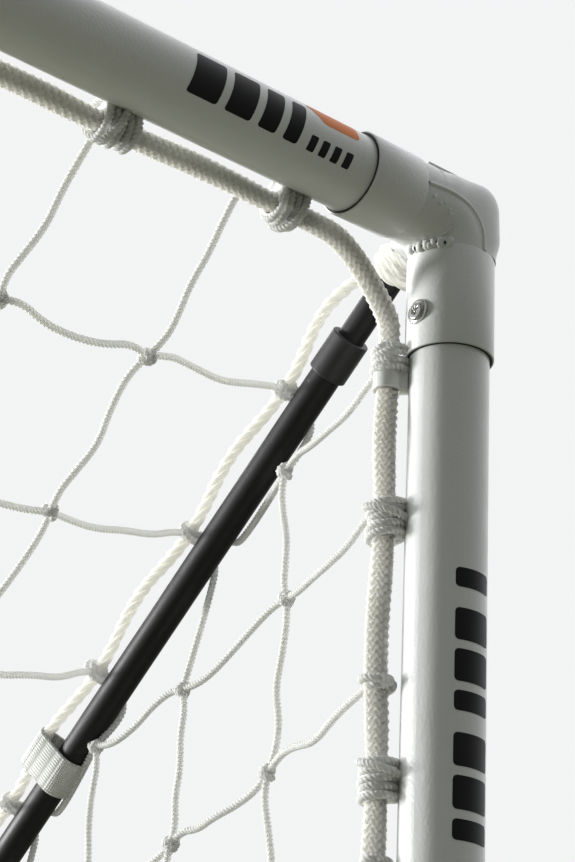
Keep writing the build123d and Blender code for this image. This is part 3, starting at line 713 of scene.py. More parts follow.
# ------------------------------------------------------------------ border rope of the mouth
strand_radius = 0.00172
braid_pitch = 0.0270
braid_carriers = 6
braid_lift = 0.00092
corner_cut = 0.034           # the rope's corner, as two control points this far from it
braid_flat = 0.60
braid_spare = 0.0011         # the braid's bumps stand out of the plain rope's outline


def mouth_route():
    """Control points of the border rope: up the left post, along the bar and down the right post."""
    source = random.Random(11)
    half = []
    heights = post_clip_heights()
    half.append((rope_x, rope_y, mouth_low.z + 0.004))
    for upper, lower in zip(heights[::-1], [None] + heights[::-1][:-1]):
        if lower is not None:
            slack = source.uniform(0.0015, 0.0045)
            half.append((rope_x - slack, rope_y + source.uniform(-0.002, 0.003), (upper + lower) / 2))
        half.append((rope_x, rope_y, upper - 0.014))
        half.append((rope_x, rope_y, upper + 0.014))
    half.append((rope_x - 0.001, rope_y, rope_z - corner_cut))
    half.append((rope_x - corner_cut, rope_y, rope_z - 0.001))
    places = bar_clip_places()
    for outer, inner in zip(places, places[1:] + [None]):
        half.append((outer + 0.014, rope_y, rope_z))
        half.append((outer - 0.014, rope_y, rope_z))
        if inner is not None:
            half.append(((outer + inner) / 2, rope_y + source.uniform(-0.002, 0.002),
                         rope_z + source.uniform(0.0005, 0.0035)))
    left = [(-x, y, z) for x, y, z in half]
    return left + half[::-1]


def braid(points, along, side, half_width, flat, seed, ties):
    """The strands of a flattened tubular braid that turns slowly and is pinched where it is tied."""
    across, normal = frames(points, side)
    phase = 2 * math.pi * along / braid_pitch
    weave = braid_lift * np.cos(braid_carriers * phase)
    roll = wander(seed, 0.21, 0.42)(along) - 0.85
    pinch = np.ones(len(along))
    for tie in ties:
        gap = np.linalg.norm(points - np.array(tie), axis=1)
        pinch -= 0.20 * np.exp(-((gap / 0.020) ** 2))
    reach = half_width - strand_radius - braid_lift
    strands = []
    for turn in (1, -1):
        for index in range(braid_carriers):
            angle = turn * phase + 2 * math.pi * index / braid_carriers
            wide = (reach * pinch + turn * weave) * np.cos(angle)
            deep = (reach * flat / pinch + turn * weave) * np.sin(angle)
            u = wide * np.cos(roll) - deep * np.sin(roll)
            v = wide * np.sin(roll) + deep * np.cos(roll)
            strands.append(points + across * u[:, None] + normal * v[:, None])
    return strands


def build_mouth_rope():
    """The braided border rope in four lengths that meet under the corners and mid-bar."""
    line = smooth_lines([mouth_route()], resolution=24)[0]
    whole, along = spaced(line, 0.0015)
    ties = [(side * rope_x, rope_y, z) for side in (-1, 1) for z in post_clip_heights()]
    ties += [(side * x, rope_y, rope_z) for side in (-1, 1) for x in bar_clip_places()]
    strands = braid(whole, along, (0, 1, 0), rope_width / 2 + braid_spare, braid_flat, 3, ties)
    detailed = whole[:, 0] > 0.35
    turned = np.argmax(whole[:, 0] > -rope_x + 0.06)
    down = len(whole) - turned
    half = len(whole) // 2
    parts = (
        ("border_rope_post_left", 0, turned, 2),
        ("border_rope_bar_left", turned - 2, half, 2),
        ("border_rope_bar_right", half - 2, down, 1),
        ("border_rope_post_right", down - 1, len(whole), 1),
    )
    for index, (name, start, stop, skip) in enumerate(parts):
        chosen = [strand[start:stop + skip:skip] for strand in strands]
        mesh = sweep(name, chosen, strand_radius, sides=6 if skip == 1 else 6)
        piece(name, [mesh], finishes["braided_rope"], ("mouth_rope",) if index == 0 else ())
    return whole, detailed


build_mouth_rope()


def build_lashings():
    """Cord wound round the rope at each clip of the mouth frame."""
    detailed, plain = [], []
    ring = 0.0094
    lashing_shift = 0.0012      # towards the tube, along both directions
    seed = 40
    for side in (-1, 1):
        for height in post_clip_heights():
            seed += 1
            place = Vector((side * rope_x, rope_y, height))
            place += Vector((side, -1, 0)) * lashing_shift
            turns = 3 if height == bar_z - post_clip_drops[0] else 5
            path = coil(place, (0, 0, 1), (1, 0, 0), ring, turns, seed)
            (detailed if near_corner(place) else plain).append(path)
        for distance in bar_clip_places():
            seed += 1
            place = Vector((side * distance, rope_y, rope_z))
            place += Vector((0, -1, 1)) * lashing_shift
            path = coil(place, (1, 0, 0), (0, 0, 1), ring, random.Random(seed).choice((4, 5)), seed)
            (detailed if near_corner(place) else plain).append(path)
    fine = [spaced(path, 0.0009)[0] for path in detailed]
    coarse = [path[::2] for path in plain]
    piece("lashings_corner", [sweep("lashings", fine, cord_radius, profile=cord_profile, lay=cord_lay)],
          finishes["net_cord"])
    piece("lashings_rest", [sweep("lashings", coarse, cord_radius)], finishes["plain_net_cord"])


build_lashings()

# ------------------------------------------------------------------ ropes of the stays and the ground frame


def laid_strands(points, along, side, radius, pitch, count=3):
    """The strands of a laid rope."""
    across, normal = frames(points, side)
    reach = radius * 0.54
    strands = []
    for index in range(count):
        angle = 2 * math.pi * (along / pitch + index / count)
        sideways, outwards = (reach * np.cos(angle))[:, None], (reach * np.sin(angle))[:, None]
        strands.append(points + across * sideways + normal * outwards)
    return strands


def on_stay(side, along, inward, up):
    """A place beside the stay: inward from its plane and up square to it."""
    place = stay_start + stay_way * along + stay_up * up
    return Vector((side * (post_x - inward), place.y, place.z))


def seam_place(side, row):
    """Where a row of the net is tied to the seam rope."""
    return on_stay(side, seam_start + seam_pitch * row, post_x - stay_rope_x, stay_rope_rise)


stay_length = (middle("stay_bolts").y - front_y) / stay_way.y


def stay_rope_route(side):
    source = random.Random(60 + side)
    inward = post_x - stay_rope_x
    route = []
    for step in range(21):
        angle = math.radians(200 + 52 * 17 / 20 * step)
        along = 0.0465 + 0.0125 * step / 20
        route.append(on_stay(side, along, 0.0118 * math.cos(angle), 0.0118 * math.sin(angle)))
    route.append(on_stay(side, 0.074, inward + 0.003, 0.012))
    route.append(on_stay(side, 0.100, inward + 0.008, 0.015))
    for row in range(rows):
        along = seam_start + seam_pitch * row
        route.append(on_stay(side, along - 0.012, inward, stay_rope_rise))
        route.append(on_stay(side, along + 0.012, inward, stay_rope_rise))
        if row + 1 < rows:
            lift = source.uniform(0.002, 0.008)
            route.append(on_stay(side, along + seam_pitch / 2, inward + source.uniform(0.001, 0.006),
                                 stay_rope_rise + lift))
    route.append(on_stay(side, stay_length - 0.072, inward, stay_rope_rise))
    return route


def base_route():
    source = random.Random(77)
    start = base_low.y + 0.004
    side_run = np.linspace(start, base_y - 0.06, 12)
    right = [(base_x + source.uniform(-0.001, 0.001), y, base_z + source.uniform(-0.001, 0.0015)) for y in side_run]
    right += [(base_x, base_y - 0.026, base_z), (base_x - 0.026, base_y, base_z)]
    right += [(x, base_y + source.uniform(-0.001, 0.001), base_z) for x in np.linspace(base_x - 0.06, 0.0, 9)[:-1]]
    left = [(-x, y, z) for x, y, z in right]
    return left + right[::-1]


def build_thin_ropes():
    """Seam ropes along the stays and the rope round the ground frame."""
    for side, label in ((-1, "left"), (1, "right")):
        line, along = spaced(smooth_lines([stay_rope_route(side)])[0], 0.0022)
        strands = laid_strands(line, along, (1, 0, 0), 0.0035, 0.024)
        mesh = sweep("seam rope", strands, 0.0019)
        piece("seam_rope_" + label, [mesh], finishes["braided_rope"], ("stay_rope_" + label,))
    line, along = spaced(smooth_lines([base_route()])[0], 0.0035)
    strands = laid_strands(line, along, (0, 0, 1), base_width / 2, 0.028)
    piece("ground_rope", [sweep("ground rope", strands, 0.0021)], finishes["braided_rope"],
          ("base_rope",))


build_thin_ropes()

# ------------------------------------------------------------------ knotted net
back_slope = stay_way
back_normal = stay_up


def back_place(inset, down):
    """A place on the back panel: inset from the right corner, down the slope from the mouth."""
    half_span = post_x
    across = math.sin(math.pi * inset / (2 * half_span)) ** 0.8 if 0 < inset < 2 * half_span else 0.0
    share = min(1.0, max(0.0, down / (row_start + row_pitch * rows)))
    sag = 0.040 * across * math.sin(math.pi * share) ** 0.7
    start = Vector((post_x - inset, front_y, bar_z - net_drop))
    return start + back_slope * down - back_normal * sag


class Net:
    """Knots and the cords between them, kept apart as detailed or plain."""

    def __init__(self, seed):
        self.source = random.Random(seed)
        self.detailed, self.plain = [], []
        self.knots = []
        self.shift = {}

    def lean(self, knot):
        """The small offsets with which cords leave a knot."""
        if knot not in self.shift:
            self.shift[knot] = self.source.choice((-1, 1)) * self.source.uniform(0.0025, 0.0045)
        return self.shift[knot]

    def cord(self, first, second, sag, face, bend_first=0.0, bend_second=0.0):
        """One mesh bar from knot to knot, slack and slightly bent where it leaves each."""
        first, second = Vector(first), Vector(second)
        run = second - first
        aside = run.cross(face).normalized()
        drop = Vector((0, 0, -sag))
        jitter = [aside * self.source.uniform(-0.0022, 0.0022) + face * self.source.uniform(-0.0015, 0.0015)
                  for _ in range(3)]
        route = [
            first,
            first + run * 0.11 + aside * bend_first,
            first + run * 0.32 + aside * bend_first * 0.6 + drop * 0.75 + jitter[0],
            first + run * 0.52 + drop + jitter[1],
            first + run * 0.72 + aside * bend_second * 0.6 + drop * 0.75 + jitter[2],
            first + run * 0.89 + aside * bend_second,
            second,
        ]
        close = near_corner(first) and near_corner(second)
        (self.detailed if close else self.plain).append([tuple(point) for point in route])

    def path(self, route):
        """One mesh bar along given points, for the ones that pass round the stay."""
        close = near_corner(Vector(route[0])) and near_corner(Vector(route[-1]))
        (self.detailed if close else self.plain).append([tuple(point) for point in route])

    def knot(self, place, way):
        self.knots.append((Vector(place), Vector(way).normalized()))


def knot_loops(place, way, face, source):
    """Two crossed loops of cord pulled tight round a crossing."""
    place, way, face = Vector(place), Vector(way).normalized(), Vector(face).normalized()
    aside = way.cross(face).normalized()
    loops = []
    for lean, ring, push in ((0.62, 0.0032, 0.0010), (-0.72, 0.0030, -0.0011)):
        axis = (way * math.cos(lean) + aside * math.sin(lean)).normalized()
        flat = axis.cross(face).normalized()
        centre = place + axis * push + face * source.uniform(-0.0003, 0.0003)
        turn = source.uniform(0, 1)
        points = []
        for step in range(30):
            angle = 2 * math.pi * (step / 24 + turn)
            spread = axis * (0.0020 * (step / 29 - 0.5))
            outline = flat * 1.08 * math.cos(angle) + face * 0.86 * math.sin(angle)
            points.append(centre + spread + outline * ring)
        loops.append(np.array([tuple(point) for point in points]))
    return loops


def plain_knot(work, place, way, source):
    """A small lumpy knot for the parts of the net far from the eye."""
    turn = way.to_track_quat("X", "Z").to_matrix().to_4x4()
    roll = Matrix.Rotation(source.uniform(0, math.pi), 4, "X")
    size = Matrix.Diagonal((0.0056, 0.0050, 0.0042, 1.0))
    made = bmesh.ops.create_icosphere(work, subdivisions=1, radius=1.0,
                                      matrix=Matrix.Translation(place) @ turn @ roll @ size)
    for vertex in made["verts"]:
        vertex.co += (vertex.co - place) * source.uniform(-0.16, 0.16)


def net_pieces(name, net, face, stands_for):
    """Turns a net's cords and knots into its pieces."""
    source = random.Random(len(name))
    meshes = []
    fine = [spaced(line, 0.00085)[0] for line in smooth_lines(net.detailed)] if net.detailed else []
    loops = []
    work = bmesh.new()
    for place, way in net.knots:
        if near_corner(place):
            loops += [spaced(loop, 0.0011)[0] for loop in knot_loops(place, way, face, source)]
        else:
            plain_knot(work, place, way, source)
    if fine:
        meshes.append(sweep(name, fine, cord_radius, profile=cord_profile, lay=cord_lay))
        if loops:
            meshes.append(sweep(name, loops, cord_radius, profile=cord_profile, lay=cord_lay))
        piece(name + "_corner", meshes, finishes["net_cord"])
    coarse = [spaced(line, 0.011)[0] for line in smooth_lines(net.plain, resolution=5)]
    knots = bpy.data.meshes.new("knots")
    work.to_mesh(knots)
    work.free()
    for polygon in knots.polygons:
        polygon.use_smooth = True
    knots.uv_layers.new(name="UVMap")
    piece(name, [sweep(name, coarse, cord_radius), knots], finishes["plain_net_cord"], stands_for)


def column_insets():
    """Distances of the back panel's columns from the right corner."""
    pitch = (2 * post_x - 2 * column_inset) / columns
    insets = []
    for index in range(1, columns):
        nearest = min(index, columns - index)
        pull = 0.010 * math.exp(-(nearest - 1) / 1.5) * (1 if index < columns / 2 else -1)
        insets.append(column_inset + pitch * index + pull)
    return insets


def build_back_net():
    """The sloping back panel between the border rope, the seam ropes and the ground rope."""
    net = Net(101)
    insets = column_insets()
    source = random.Random(5)
    places = {}
    for column, inset in enumerate(insets):
        for row in range(rows):
            jitter = 0.0 if column < 2 and row < 2 else 0.004
            places[column, row] = back_place(
                inset + source.uniform(-jitter, jitter),
                row_start + row_pitch * row + source.uniform(-jitter, jitter),
            )
    face = back_normal
    for (column, row), place in places.items():
        net.knot(place, (1, 0, 0) if (column + row) % 2 else back_slope)
        lean = net.lean((column, row))
        if (column + 1, row) in places:
            net.cord(place, places[column + 1, row], 0.006, face, lean, -net.lean((column + 1, row)))
        if (column, row + 1) in places:
            net.cord(place, places[column, row + 1], 0.003, face, lean, -net.lean((column, row + 1)))
    for column, inset in enumerate(insets):
        side_x = post_x - inset
        top = Vector((side_x + source.uniform(-0.004, 0.004), rope_y + 0.003, rope_z - 0.004))
        net.cord(top, places[column, 0], 0.003, face, 0.0, -net.lean((column, 0)))
        bottom = Vector((side_x, base_y, base_z + 0.002))
        net.cord(places[column, rows - 1], bottom, 0.002, face, net.lean((column, rows - 1)), 0.0)
    for row in range(rows):
        net.cord(places[0, row], seam_place(1, row), 0.005, face, -net.lean((0, row)), 0.0)
        last = len(insets) - 1
        net.cord(places[last, row], seam_place(-1, row), 0.005, face, net.lean((last, row)), 0.0)
    net_pieces("back_net", net, face, ("net_rear",))


side_row_pitch = 0.0885
side_row_start = 0.088
side_rows = 12
side_fall = 0.30
side_net_out = 0.001


def build_side_net(side, label):
    """A side panel: columns hang from the seam rope, rows run back from the border rope."""
    net = Net(200 + side)
    source = random.Random(300 + side)
    face = Vector((side, 0, 0))
    plane = side * (post_x + side_net_out)

    def row_height(row, y):
        easing = 1 - (row / side_rows) ** 2
        back = y - rope_y
        fall = 0.17 * min(back, 0.105) + side_fall * max(0.0, back - 0.105)
        early = (0.0, 0.0105, 0.006)[row] if row < 3 else 0.003
        return bar_z - side_row_start - side_row_pitch * row + early - easing * fall

    columns_y = [seam_place(side, index).y + (0.013 if index else 0.004) for index in range(rows)]
    knots = {}
    ends = {}
    for column, y in enumerate(columns_y):
        seam_z = seam_place(side, column).z
        for row in range(side_rows):
            z = row_height(row, y)
            if seam_z - z > 0.036 and z > base_z + 0.028:
                shift = Vector((source.uniform(-0.002, 0.002), source.uniform(-0.005, 0.005),
                                source.uniform(-0.004, 0.004)))
                knots[column, row] = Vector((plane, y, z)) + shift
            elif seam_z - z > -0.05 and row not in ends and z > base_z:
                ends[row] = column
    for (column, row), place in knots.items():
        net.knot(place, (0, 1, 0) if (column + row) % 2 else (0, 0, 1))
        lean = net.lean((column, row))
        below = knots.get((column, row + 1))
        if below:
            net.cord(place, below, 0.0, face, lean, -net.lean((column, row + 1)))
        else:
            net.cord(place, (side * base_x, place.y, base_z + 0.003), 0.0, face, lean, 0.0)
        if (column, row - 1) not in knots:
            along = seam_start + seam_pitch * column
            net.path([seam_place(side, column), on_stay(side, along, 0.0, 0.0130),
                      on_stay(side, along + 0.006, -0.0112, 0.006),
                      on_stay(side, along + 0.014, -0.0100, -0.008),
                      place])
        behind = knots.get((column + 1, row))
        if behind:
            net.cord(place, behind, 0.005, face, -lean, net.lean((column + 1, row)))
        elif row in ends:
            last = min(ends[row], rows - 1)
            along = seam_start + seam_pitch * last
            net.path([place, on_stay(side, along - 0.016, -0.0105, -0.009),
                      on_stay(side, along - 0.008, -0.0112, 0.003),
                      on_stay(side, along - 0.003, -0.002, 0.0125), seam_place(side, last)])
        if column == 0:
            start = Vector((side * (rope_x - 0.002), rope_y + 0.004, row_height(row, rope_y)))
            net.cord(start, place, 0.004, face, 0.0, lean)
    for column, y in enumerate(columns_y):
        if not any((column, row) in knots for row in range(side_rows)):
            net.cord(seam_place(side, column), (side * base_x, y, base_z + 0.003), 0.0, face)
    net_pieces("side_net_" + label, net, face, ("net_" + label,))
    hitches = []
    for row in range(side_rows):
        place = Vector((side * rope_x, rope_y, row_height(row, rope_y)))
        if all(abs(place.z - height) > 0.016 for height in post_clip_heights()):
            hitches.append(hitch(place, (0, 0, 1), (1, 0, 0), 0.0060, 500 + row))
    for row in range(rows):
        place = seam_place(side, row)
        hitches.append(hitch(place, stay_way, (1, 0, 0), 0.0047, 600 + row))
    close = [spaced(path, 0.0010)[0] for path in hitches if near_corner(path[0])]
    far = [path[::3] for path in hitches if not near_corner(path[0])]
    if close:
        shown = sweep("hitches", close, cord_radius, profile=cord_profile, lay=cord_lay)
        piece("hitches_corner_" + label, [shown],
              finishes["net_cord"])
    piece("hitches_" + label, [sweep("hitches", far, cord_radius)], finishes["plain_net_cord"])


build_back_net()
for side_sign, side_label in ((-1, "left"), (1, "right")):
    build_side_net(side_sign, side_label)

# ------------------------------------------------------------------ straps on the stays


def build_straps(side, label):
    """Woven straps that bind the seam rope to the stay, each a loop with its end lapped over."""
    width, thickness = 0.0230, 0.0020
    rope_at = Vector((post_x - stay_rope_x, stay_rope_rise))
    meshes = []
    for along in strap_places:
        outline = []
        gap = thickness / 2 + 0.0003
        direction = math.atan2(rope_at.y, rope_at.x)
        steps = 14
        for centre, radius, start in ((rope_at, 0.0041, direction - math.pi / 2),
                                      (Vector((0, 0)), stay_radius, direction + math.pi / 2)):
            for step in range(steps + 1):
                angle = start + math.pi * step / steps
                outline.append((centre.x + (radius + gap) * math.cos(angle),
                                centre.y + (radius + gap) * math.sin(angle)))
        outline += [(x * 1.16, y * 1.16) for x, y in outline[1:9]]
        data = bpy.data.curves.new("strap", "CURVE")
        data.dimensions = "3D"
        data.extrude = width / 2
        data.bevel_depth = thickness / 2
        data.bevel_resolution = 1
        spline = data.splines.new("NURBS")
        spline.points.add(len(outline) - 1)
        for point, (inward, up) in zip(spline.points, outline):
            point.co = (inward, up, 0.0, 1.0)
        spline.order_u = 3
        spline.use_endpoint_u = True
        data.resolution_u = 3
        mesh = as_mesh(data)
        spread = Matrix((
            (-side, 0.0, 0.0, side * post_x),
            (0.0, stay_up.y, stay_way.y, 0.0),
            (0.0, stay_up.z, stay_way.z, 0.0),
            (0.0, 0.0, 0.0, 1.0),
        ))
        centre = stay_start + stay_way * along
        mesh.transform(Matrix.Translation((0, centre.y, centre.z)) @ spread)
        if spread.determinant() < 0:
            mesh.flip_normals()
        if mesh.uv_layers:
            layer = mesh.uv_layers[0].uv
            values = np.zeros(len(layer) * 2, np.float32)
            layer.foreach_get("vector", values)
            values[0::2] *= 0.11
            values[1::2] *= 3.0
            layer.foreach_set("vector", values)
        meshes.append(mesh)
    piece("straps_" + label, meshes, finishes["net_band"], ("stay_bands_" + label,))


for side_sign, side_label in ((-1, "left"), (1, "right")):
    build_straps(side_sign, side_label)

# ------------------------------------------------------------------ sleeves, seam and welds of the top elbows
elbow_low, elbow_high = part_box("top_elbow_right")
post_rim = bar_z - elbow_low.z          # from the corner to the sleeve's rim
bar_rim = post_x - elbow_low.x
sleeve_wall = 0.0009                    # sleeves stand proud of the bend
post_sleeve_start = 0.0255
bar_sleeve_start = 0.0385
crown_round = 0.0140                    # rounding of the crown's outer corner
socket_radius = tube_radius + 0.0014
bend_radius = 0.026


def around_bend(travel, turn, lift=0.0):
    """A place on the elbow's skin in the right corner's own axes: travel along the bend from its bar
    end, turn round the tube from the outside (0) over the front (90 degrees) to the crotch (180)."""
    quarter = math.pi / 2 * bend_radius
    reach = (socket_radius + lift) * math.cos(math.radians(turn))
    front = (socket_radius + lift) * math.sin(math.radians(turn))
    if travel < 0:
        return Vector((-bend_radius + travel, -front, reach))
    if travel > quarter:
        return Vector((reach, -front, -bend_radius - (travel - quarter)))
    angle = travel / bend_radius
    out = bend_radius + reach
    return Vector((-bend_radius + out * math.sin(angle), -front, -bend_radius + out * math.cos(angle)))


def eased(value, start, stop):
    """0 before start, 1 after stop, smooth between them."""
    share = min(1.0, max(0.0, (value - start) / (stop - start)))
    return share * share * (3 - 2 * share)


def crown_reach(degrees):
    """From the bend's centre out to the crown's outline, a square corner with a rounding."""
    cap = elbow_high.x - post_x - 0.0002
    across, up = math.sin(math.radians(degrees)), math.cos(math.radians(degrees))
    square = (bend_radius + cap) / max(across, up)
    knee = bend_radius + cap - crown_round
    lean = knee * (across + up)
    inside = lean * lean - (2 * knee * knee - crown_round ** 2)
    past_knee = min(square * across, square * up) > knee
    return lean + math.sqrt(inside) if past_knee else square


def crown():
    """The bend's outer half, blown out to a rounded square corner."""
    points, faces = [], []
    steps, turns = 60, 72
    for step in range(steps + 1):
        degrees = 2 + 87 * step / steps
        swell = eased(degrees, 2, 24) * (1 - eased(degrees, 74, 89))
        square = 2.0 + 0.35 * eased(degrees, 5, 20) + 0.85 * eased(degrees, 24, 46) * (1 - eased(degrees, 70, 88))
        outer = socket_radius + (crown_reach(degrees) - bend_radius - socket_radius) * swell
        way = Vector((math.sin(math.radians(degrees)), 0, math.cos(math.radians(degrees))))
        for turn in range(turns + 1):
            angle = math.radians(-97 + 194 * turn / turns)
            sink = -0.0004 + 0.0005 * (1 - eased(abs(math.degrees(angle)), 88, 94))
            if abs(angle) < math.pi / 2:
                reach = (outer + sink) * abs(math.cos(angle)) ** (2 / square)
                front = (socket_radius + sink) * abs(math.sin(angle)) ** (2 / square)
            else:
                reach = (socket_radius + sink) * math.cos(angle)
                front = (socket_radius + sink) * abs(math.sin(angle))
            place = way * (bend_radius + reach) - Vector((bend_radius, 0, bend_radius))
            place.y = math.copysign(front, angle)
            points.append(place)
    for step in range(steps):
        for turn in range(turns):
            first = step * (turns + 1) + turn
            faces.append((first, first + 1, first + turns + 2, first + turns + 1))
    mesh = bpy.data.meshes.new("crown")
    mesh.from_pydata(points, [], faces)
    work = bmesh.new()
    work.from_mesh(mesh)
    bmesh.ops.recalc_face_normals(work, faces=work.faces[:])
    work.faces.ensure_lookup_table()
    if work.faces[len(work.faces) // 2].normal.x + work.faces[len(work.faces) // 2].normal.z < 0:
        bmesh.ops.reverse_faces(work, faces=work.faces[:])
    work.to_mesh(mesh)
    work.free()
    for polygon in mesh.polygons:
        polygon.use_smooth = True
    mesh.uv_layers.new(name="UVMap")
    return mesh


def place_at_corner(mesh, side):
    """Puts a mesh made in the right corner's axes at the right or left corner."""
    mesh.transform(Matrix.Translation((side * post_x, front_y, bar_z)) @ Matrix.Diagonal((side, 1, 1, 1)))
    if side < 0:
        mesh.flip_normals()
    return mesh


def sleeve(start, stop, along_bar):
    """A thin raised sleeve with rolled ends, spun round the tube's axis."""
    work = bmesh.new()
    roll = 0.0005
    outer = socket_radius + sleeve_wall
    profile = [(start, socket_radius - 0.0004), (start, outer - roll), (start + roll * 0.3, outer - roll * 0.3),
               (start + roll, outer), (stop - roll, outer), (stop - roll * 0.3, outer - roll * 0.3),
               (stop, outer - roll), (stop, tube_radius + 0.0005)]
    points = [work.verts.new((reach, 0.0, -along)) for along, reach in profile]
    edges = [work.edges.new(pair) for pair in zip(points, points[1:])]
    bmesh.ops.spin(work, geom=points + edges, axis=(0, 0, 1), cent=(0, 0, 0), angle=2 * math.pi, steps=96,
                   use_merge=True)
    bmesh.ops.recalc_face_normals(work, faces=work.faces[:])
    if along_bar:
        bmesh.ops.rotate(work, verts=work.verts[:], matrix=Matrix.Rotation(math.radians(90), 3, "Y"))
    mesh = bpy.data.meshes.new("sleeve")
    work.to_mesh(mesh)
    work.free()
    for polygon in mesh.polygons:
        polygon.use_smooth = True
    mesh.uv_layers.new(name="UVMap")
    return mesh


def beads(places, size, seed):
    """Small weld beads, and the dark balls of painted shade in pits, each a flattened ball."""
    source = random.Random(seed)
    work = bmesh.new()
    for place in places:
        scale = Matrix.Diagonal([size * source.uniform(0.75, 1.25) for _ in range(3)] + [1.0])
        bmesh.ops.create_icosphere(work, subdivisions=2, radius=1.0, matrix=Matrix.Translation(place) @ scale)
    mesh = bpy.data.meshes.new("beads")
    work.to_mesh(mesh)
    work.free()
    for polygon in mesh.polygons:
        polygon.use_smooth = True
    mesh.uv_layers.new(name="UVMap")
    return mesh


def build_elbow_details():
    """Sleeves, the seam bead over the bend and weld beads in the crotch, with painted shade as dark balls in the
    crotch's pits and dark rings in the gaps at the rims.
    """
    seam_route = [around_bend(travel, turn, 0.0001) for travel, turn in (
        (-0.012, 92), (-0.006, 90), (0.006, 86), (0.017, 78), (0.026, 76), (0.034, 80), (0.040, 84))]
    ridge_route = [around_bend(travel, turn, -0.0001) for travel, turn in (
        (-0.011, 103), (-0.003, 108), (0.005, 112), (0.014, 118))]
    crotch = [around_bend(travel, turn, lift) for travel, turn, lift in (
        (0.022, 196, 0.0004), (0.026, 184, 0.0010), (0.031, 176, 0.0016), (0.035, 166, 0.0010),
        (0.036, 156, 0.0014), (0.039, 147, 0.0006), (0.030, 158, 0.0002), (0.033, 146, 0.0000),
        (0.026, 168, 0.0002), (0.037, 137, 0.0002), (0.038, 176, 0.0018), (0.040, 162, 0.0012))]
    # painted shade: dark balls where the crotch's pits hold shade
    pits = [around_bend(travel, turn, lift) for travel, turn, lift in (
        (0.0345, 181, 0.0030), (0.0345, 171, 0.0026), (0.0330, 161, 0.0020), (0.0375, 151, 0.0022),
        (0.0390, 141, 0.0012), (0.0290, 186, 0.0020))]
    fold_route = [around_bend(travel, turn, 0.0002) for travel, turn in (
        (0.030, 176), (0.026, 160), (0.024, 146), (0.022, 134), (0.019, 124))]
    arc_route = [around_bend(travel, turn, 0.0004) for travel, turn in (
        (0.040, 140), (0.036, 133), (0.031, 136), (0.028, 144))]
    for side, label in ((-1, "left"), (1, "right")):
        meshes = [sleeve(post_sleeve_start, post_rim, False),
                  sleeve(bar_sleeve_start, bar_rim, True), crown()]
        lines = smooth_lines([seam_route, ridge_route, fold_route, arc_route], resolution=10)
        seam_line, ridge_line, fold_line, arc_line = (spaced(line, 0.0006)[0] for line in lines)
        meshes.append(sweep("seam", [seam_line], 0.00115, sides=10))
        meshes.append(sweep("folds", [fold_line, arc_line], 0.0009, sides=8))
        spots = [Vector(place) + Vector(offset) * 0.0014 for place, offset in zip(ridge_line[::5], (
            (0, 0, 1), (0.6, 0, -0.6), (-1, 0, 0.4), (0, 0, -1), (0.3, 0, 0.8), (1, 0, 0), (0, 0, -0.4)))]
        meshes.append(beads(spots, 0.00105, 9))
        meshes.append(beads(crotch, 0.0027, 12))
        for mesh in meshes:
            place_at_corner(mesh, side)
        piece("elbow_sleeves_" + label, meshes, finishes["white_powder_coat"])
        # painted shade: thin dark rings in the gaps at the sleeves' rims, with the dark pit balls
        rings = []
        turn = np.linspace(0, 2 * math.pi, 97)[:-1]
        ring = tube_radius + 0.0005
        circle = np.column_stack([ring * np.cos(turn), ring * np.sin(turn)])
        depth = 0.0001
        rings.append(np.column_stack([circle[:, 0], circle[:, 1], np.full(96, -post_rim + depth)]))
        rings.append(np.column_stack([np.full(96, -bar_rim + depth), circle[:, 0], circle[:, 1]]))
        painted_gap_shade = [sweep("rim gap", rings, 0.00042, closed=True), beads(pits, 0.0011, 15)]
        for mesh in painted_gap_shade:
            place_at_corner(mesh, side)
        piece("joint_gap_shade_" + label, painted_gap_shade, finishes["black_collar"])


build_elbow_details()

# ------------------------------------------------------------------ corner screw heads
screw_drop = 0.0625          # post screw below the crossbar's centre
screw_inset = 0.052          # crossbar screw from the post's centre
base_screw_height = 0.076


def build_screw_heads():
    """Flanged dome heads with a six-lobed recess and a centre pin, over the plain ones."""
    around = 96
    rings = (
        (0.0, 2.96), (0.60, 2.95), (0.86, 2.84), (0.96, 2.50), (1.00, 1.20), (1.30, 1.12), (-0.25, 1.12),
        (-0.04, 1.25), (0.00, 2.90), (-9.0, 3.06), (3.00, 3.04), (3.50, 2.96), (4.00, 2.78), (4.45, 2.50),
        (4.80, 2.15), (5.05, 1.75), (5.18, 1.45), (5.34, 1.36), (6.30, 1.33), (6.68, 1.24), (6.88, 1.02),
        (6.94, 0.60), (6.94, 0.0))
    points, faces = [], []
    for index, (reach, height) in enumerate(rings):
        for step in range(around):
            angle = 2 * math.pi * step / around
            lobe = 2.02 + 0.34 * math.cos(6 * angle)
            if index in (6, 7, 8):
                radius = lobe + reach
            elif index == 9:
                radius = lobe + 0.16
            else:
                radius = reach
            points.append((radius * math.cos(angle) / 1000, radius * math.sin(angle) / 1000, height / 1000))
    for index in range(len(rings) - 1):
        for step in range(around):
            following = (step + 1) % around
            first, second = index * around, (index + 1) * around
            faces.append((first + step, second + step, second + following, first + following))
    seat = Matrix.Translation((0, 0, socket_radius + 0.00002))
    meshes = []
    for side in (-1, 1):
        inward = Matrix.Rotation(math.radians(-90 * side), 4, "Y")
        rearward = Matrix.Rotation(math.radians(-90), 4, "X")
        for place, turn in (
            ((side * post_x, front_y, bar_z - screw_drop), inward),
            ((side * post_x, front_y, base_screw_height), inward),
            ((side * (post_x - screw_inset), front_y, bar_z), rearward),
        ):
            mesh = bpy.data.meshes.new("screw head")
            mesh.from_pydata(points, [], faces)
            mesh.transform(Matrix.Translation(place) @ turn @ seat)
            work = bmesh.new()
            work.from_mesh(mesh)
            bmesh.ops.remove_doubles(work, verts=work.verts[:], dist=1e-7)
            work.to_mesh(mesh)
            work.free()
            for polygon in mesh.polygons:
                polygon.use_smooth = True
            mesh.uv_layers.new(name="UVMap")
            meshes.append(mesh)
    piece("screw_heads", meshes, finishes["screw_chrome"])


build_screw_heads()

# ------------------------------------------------------------------ prints on the tubes
print_thickness = 0.00012


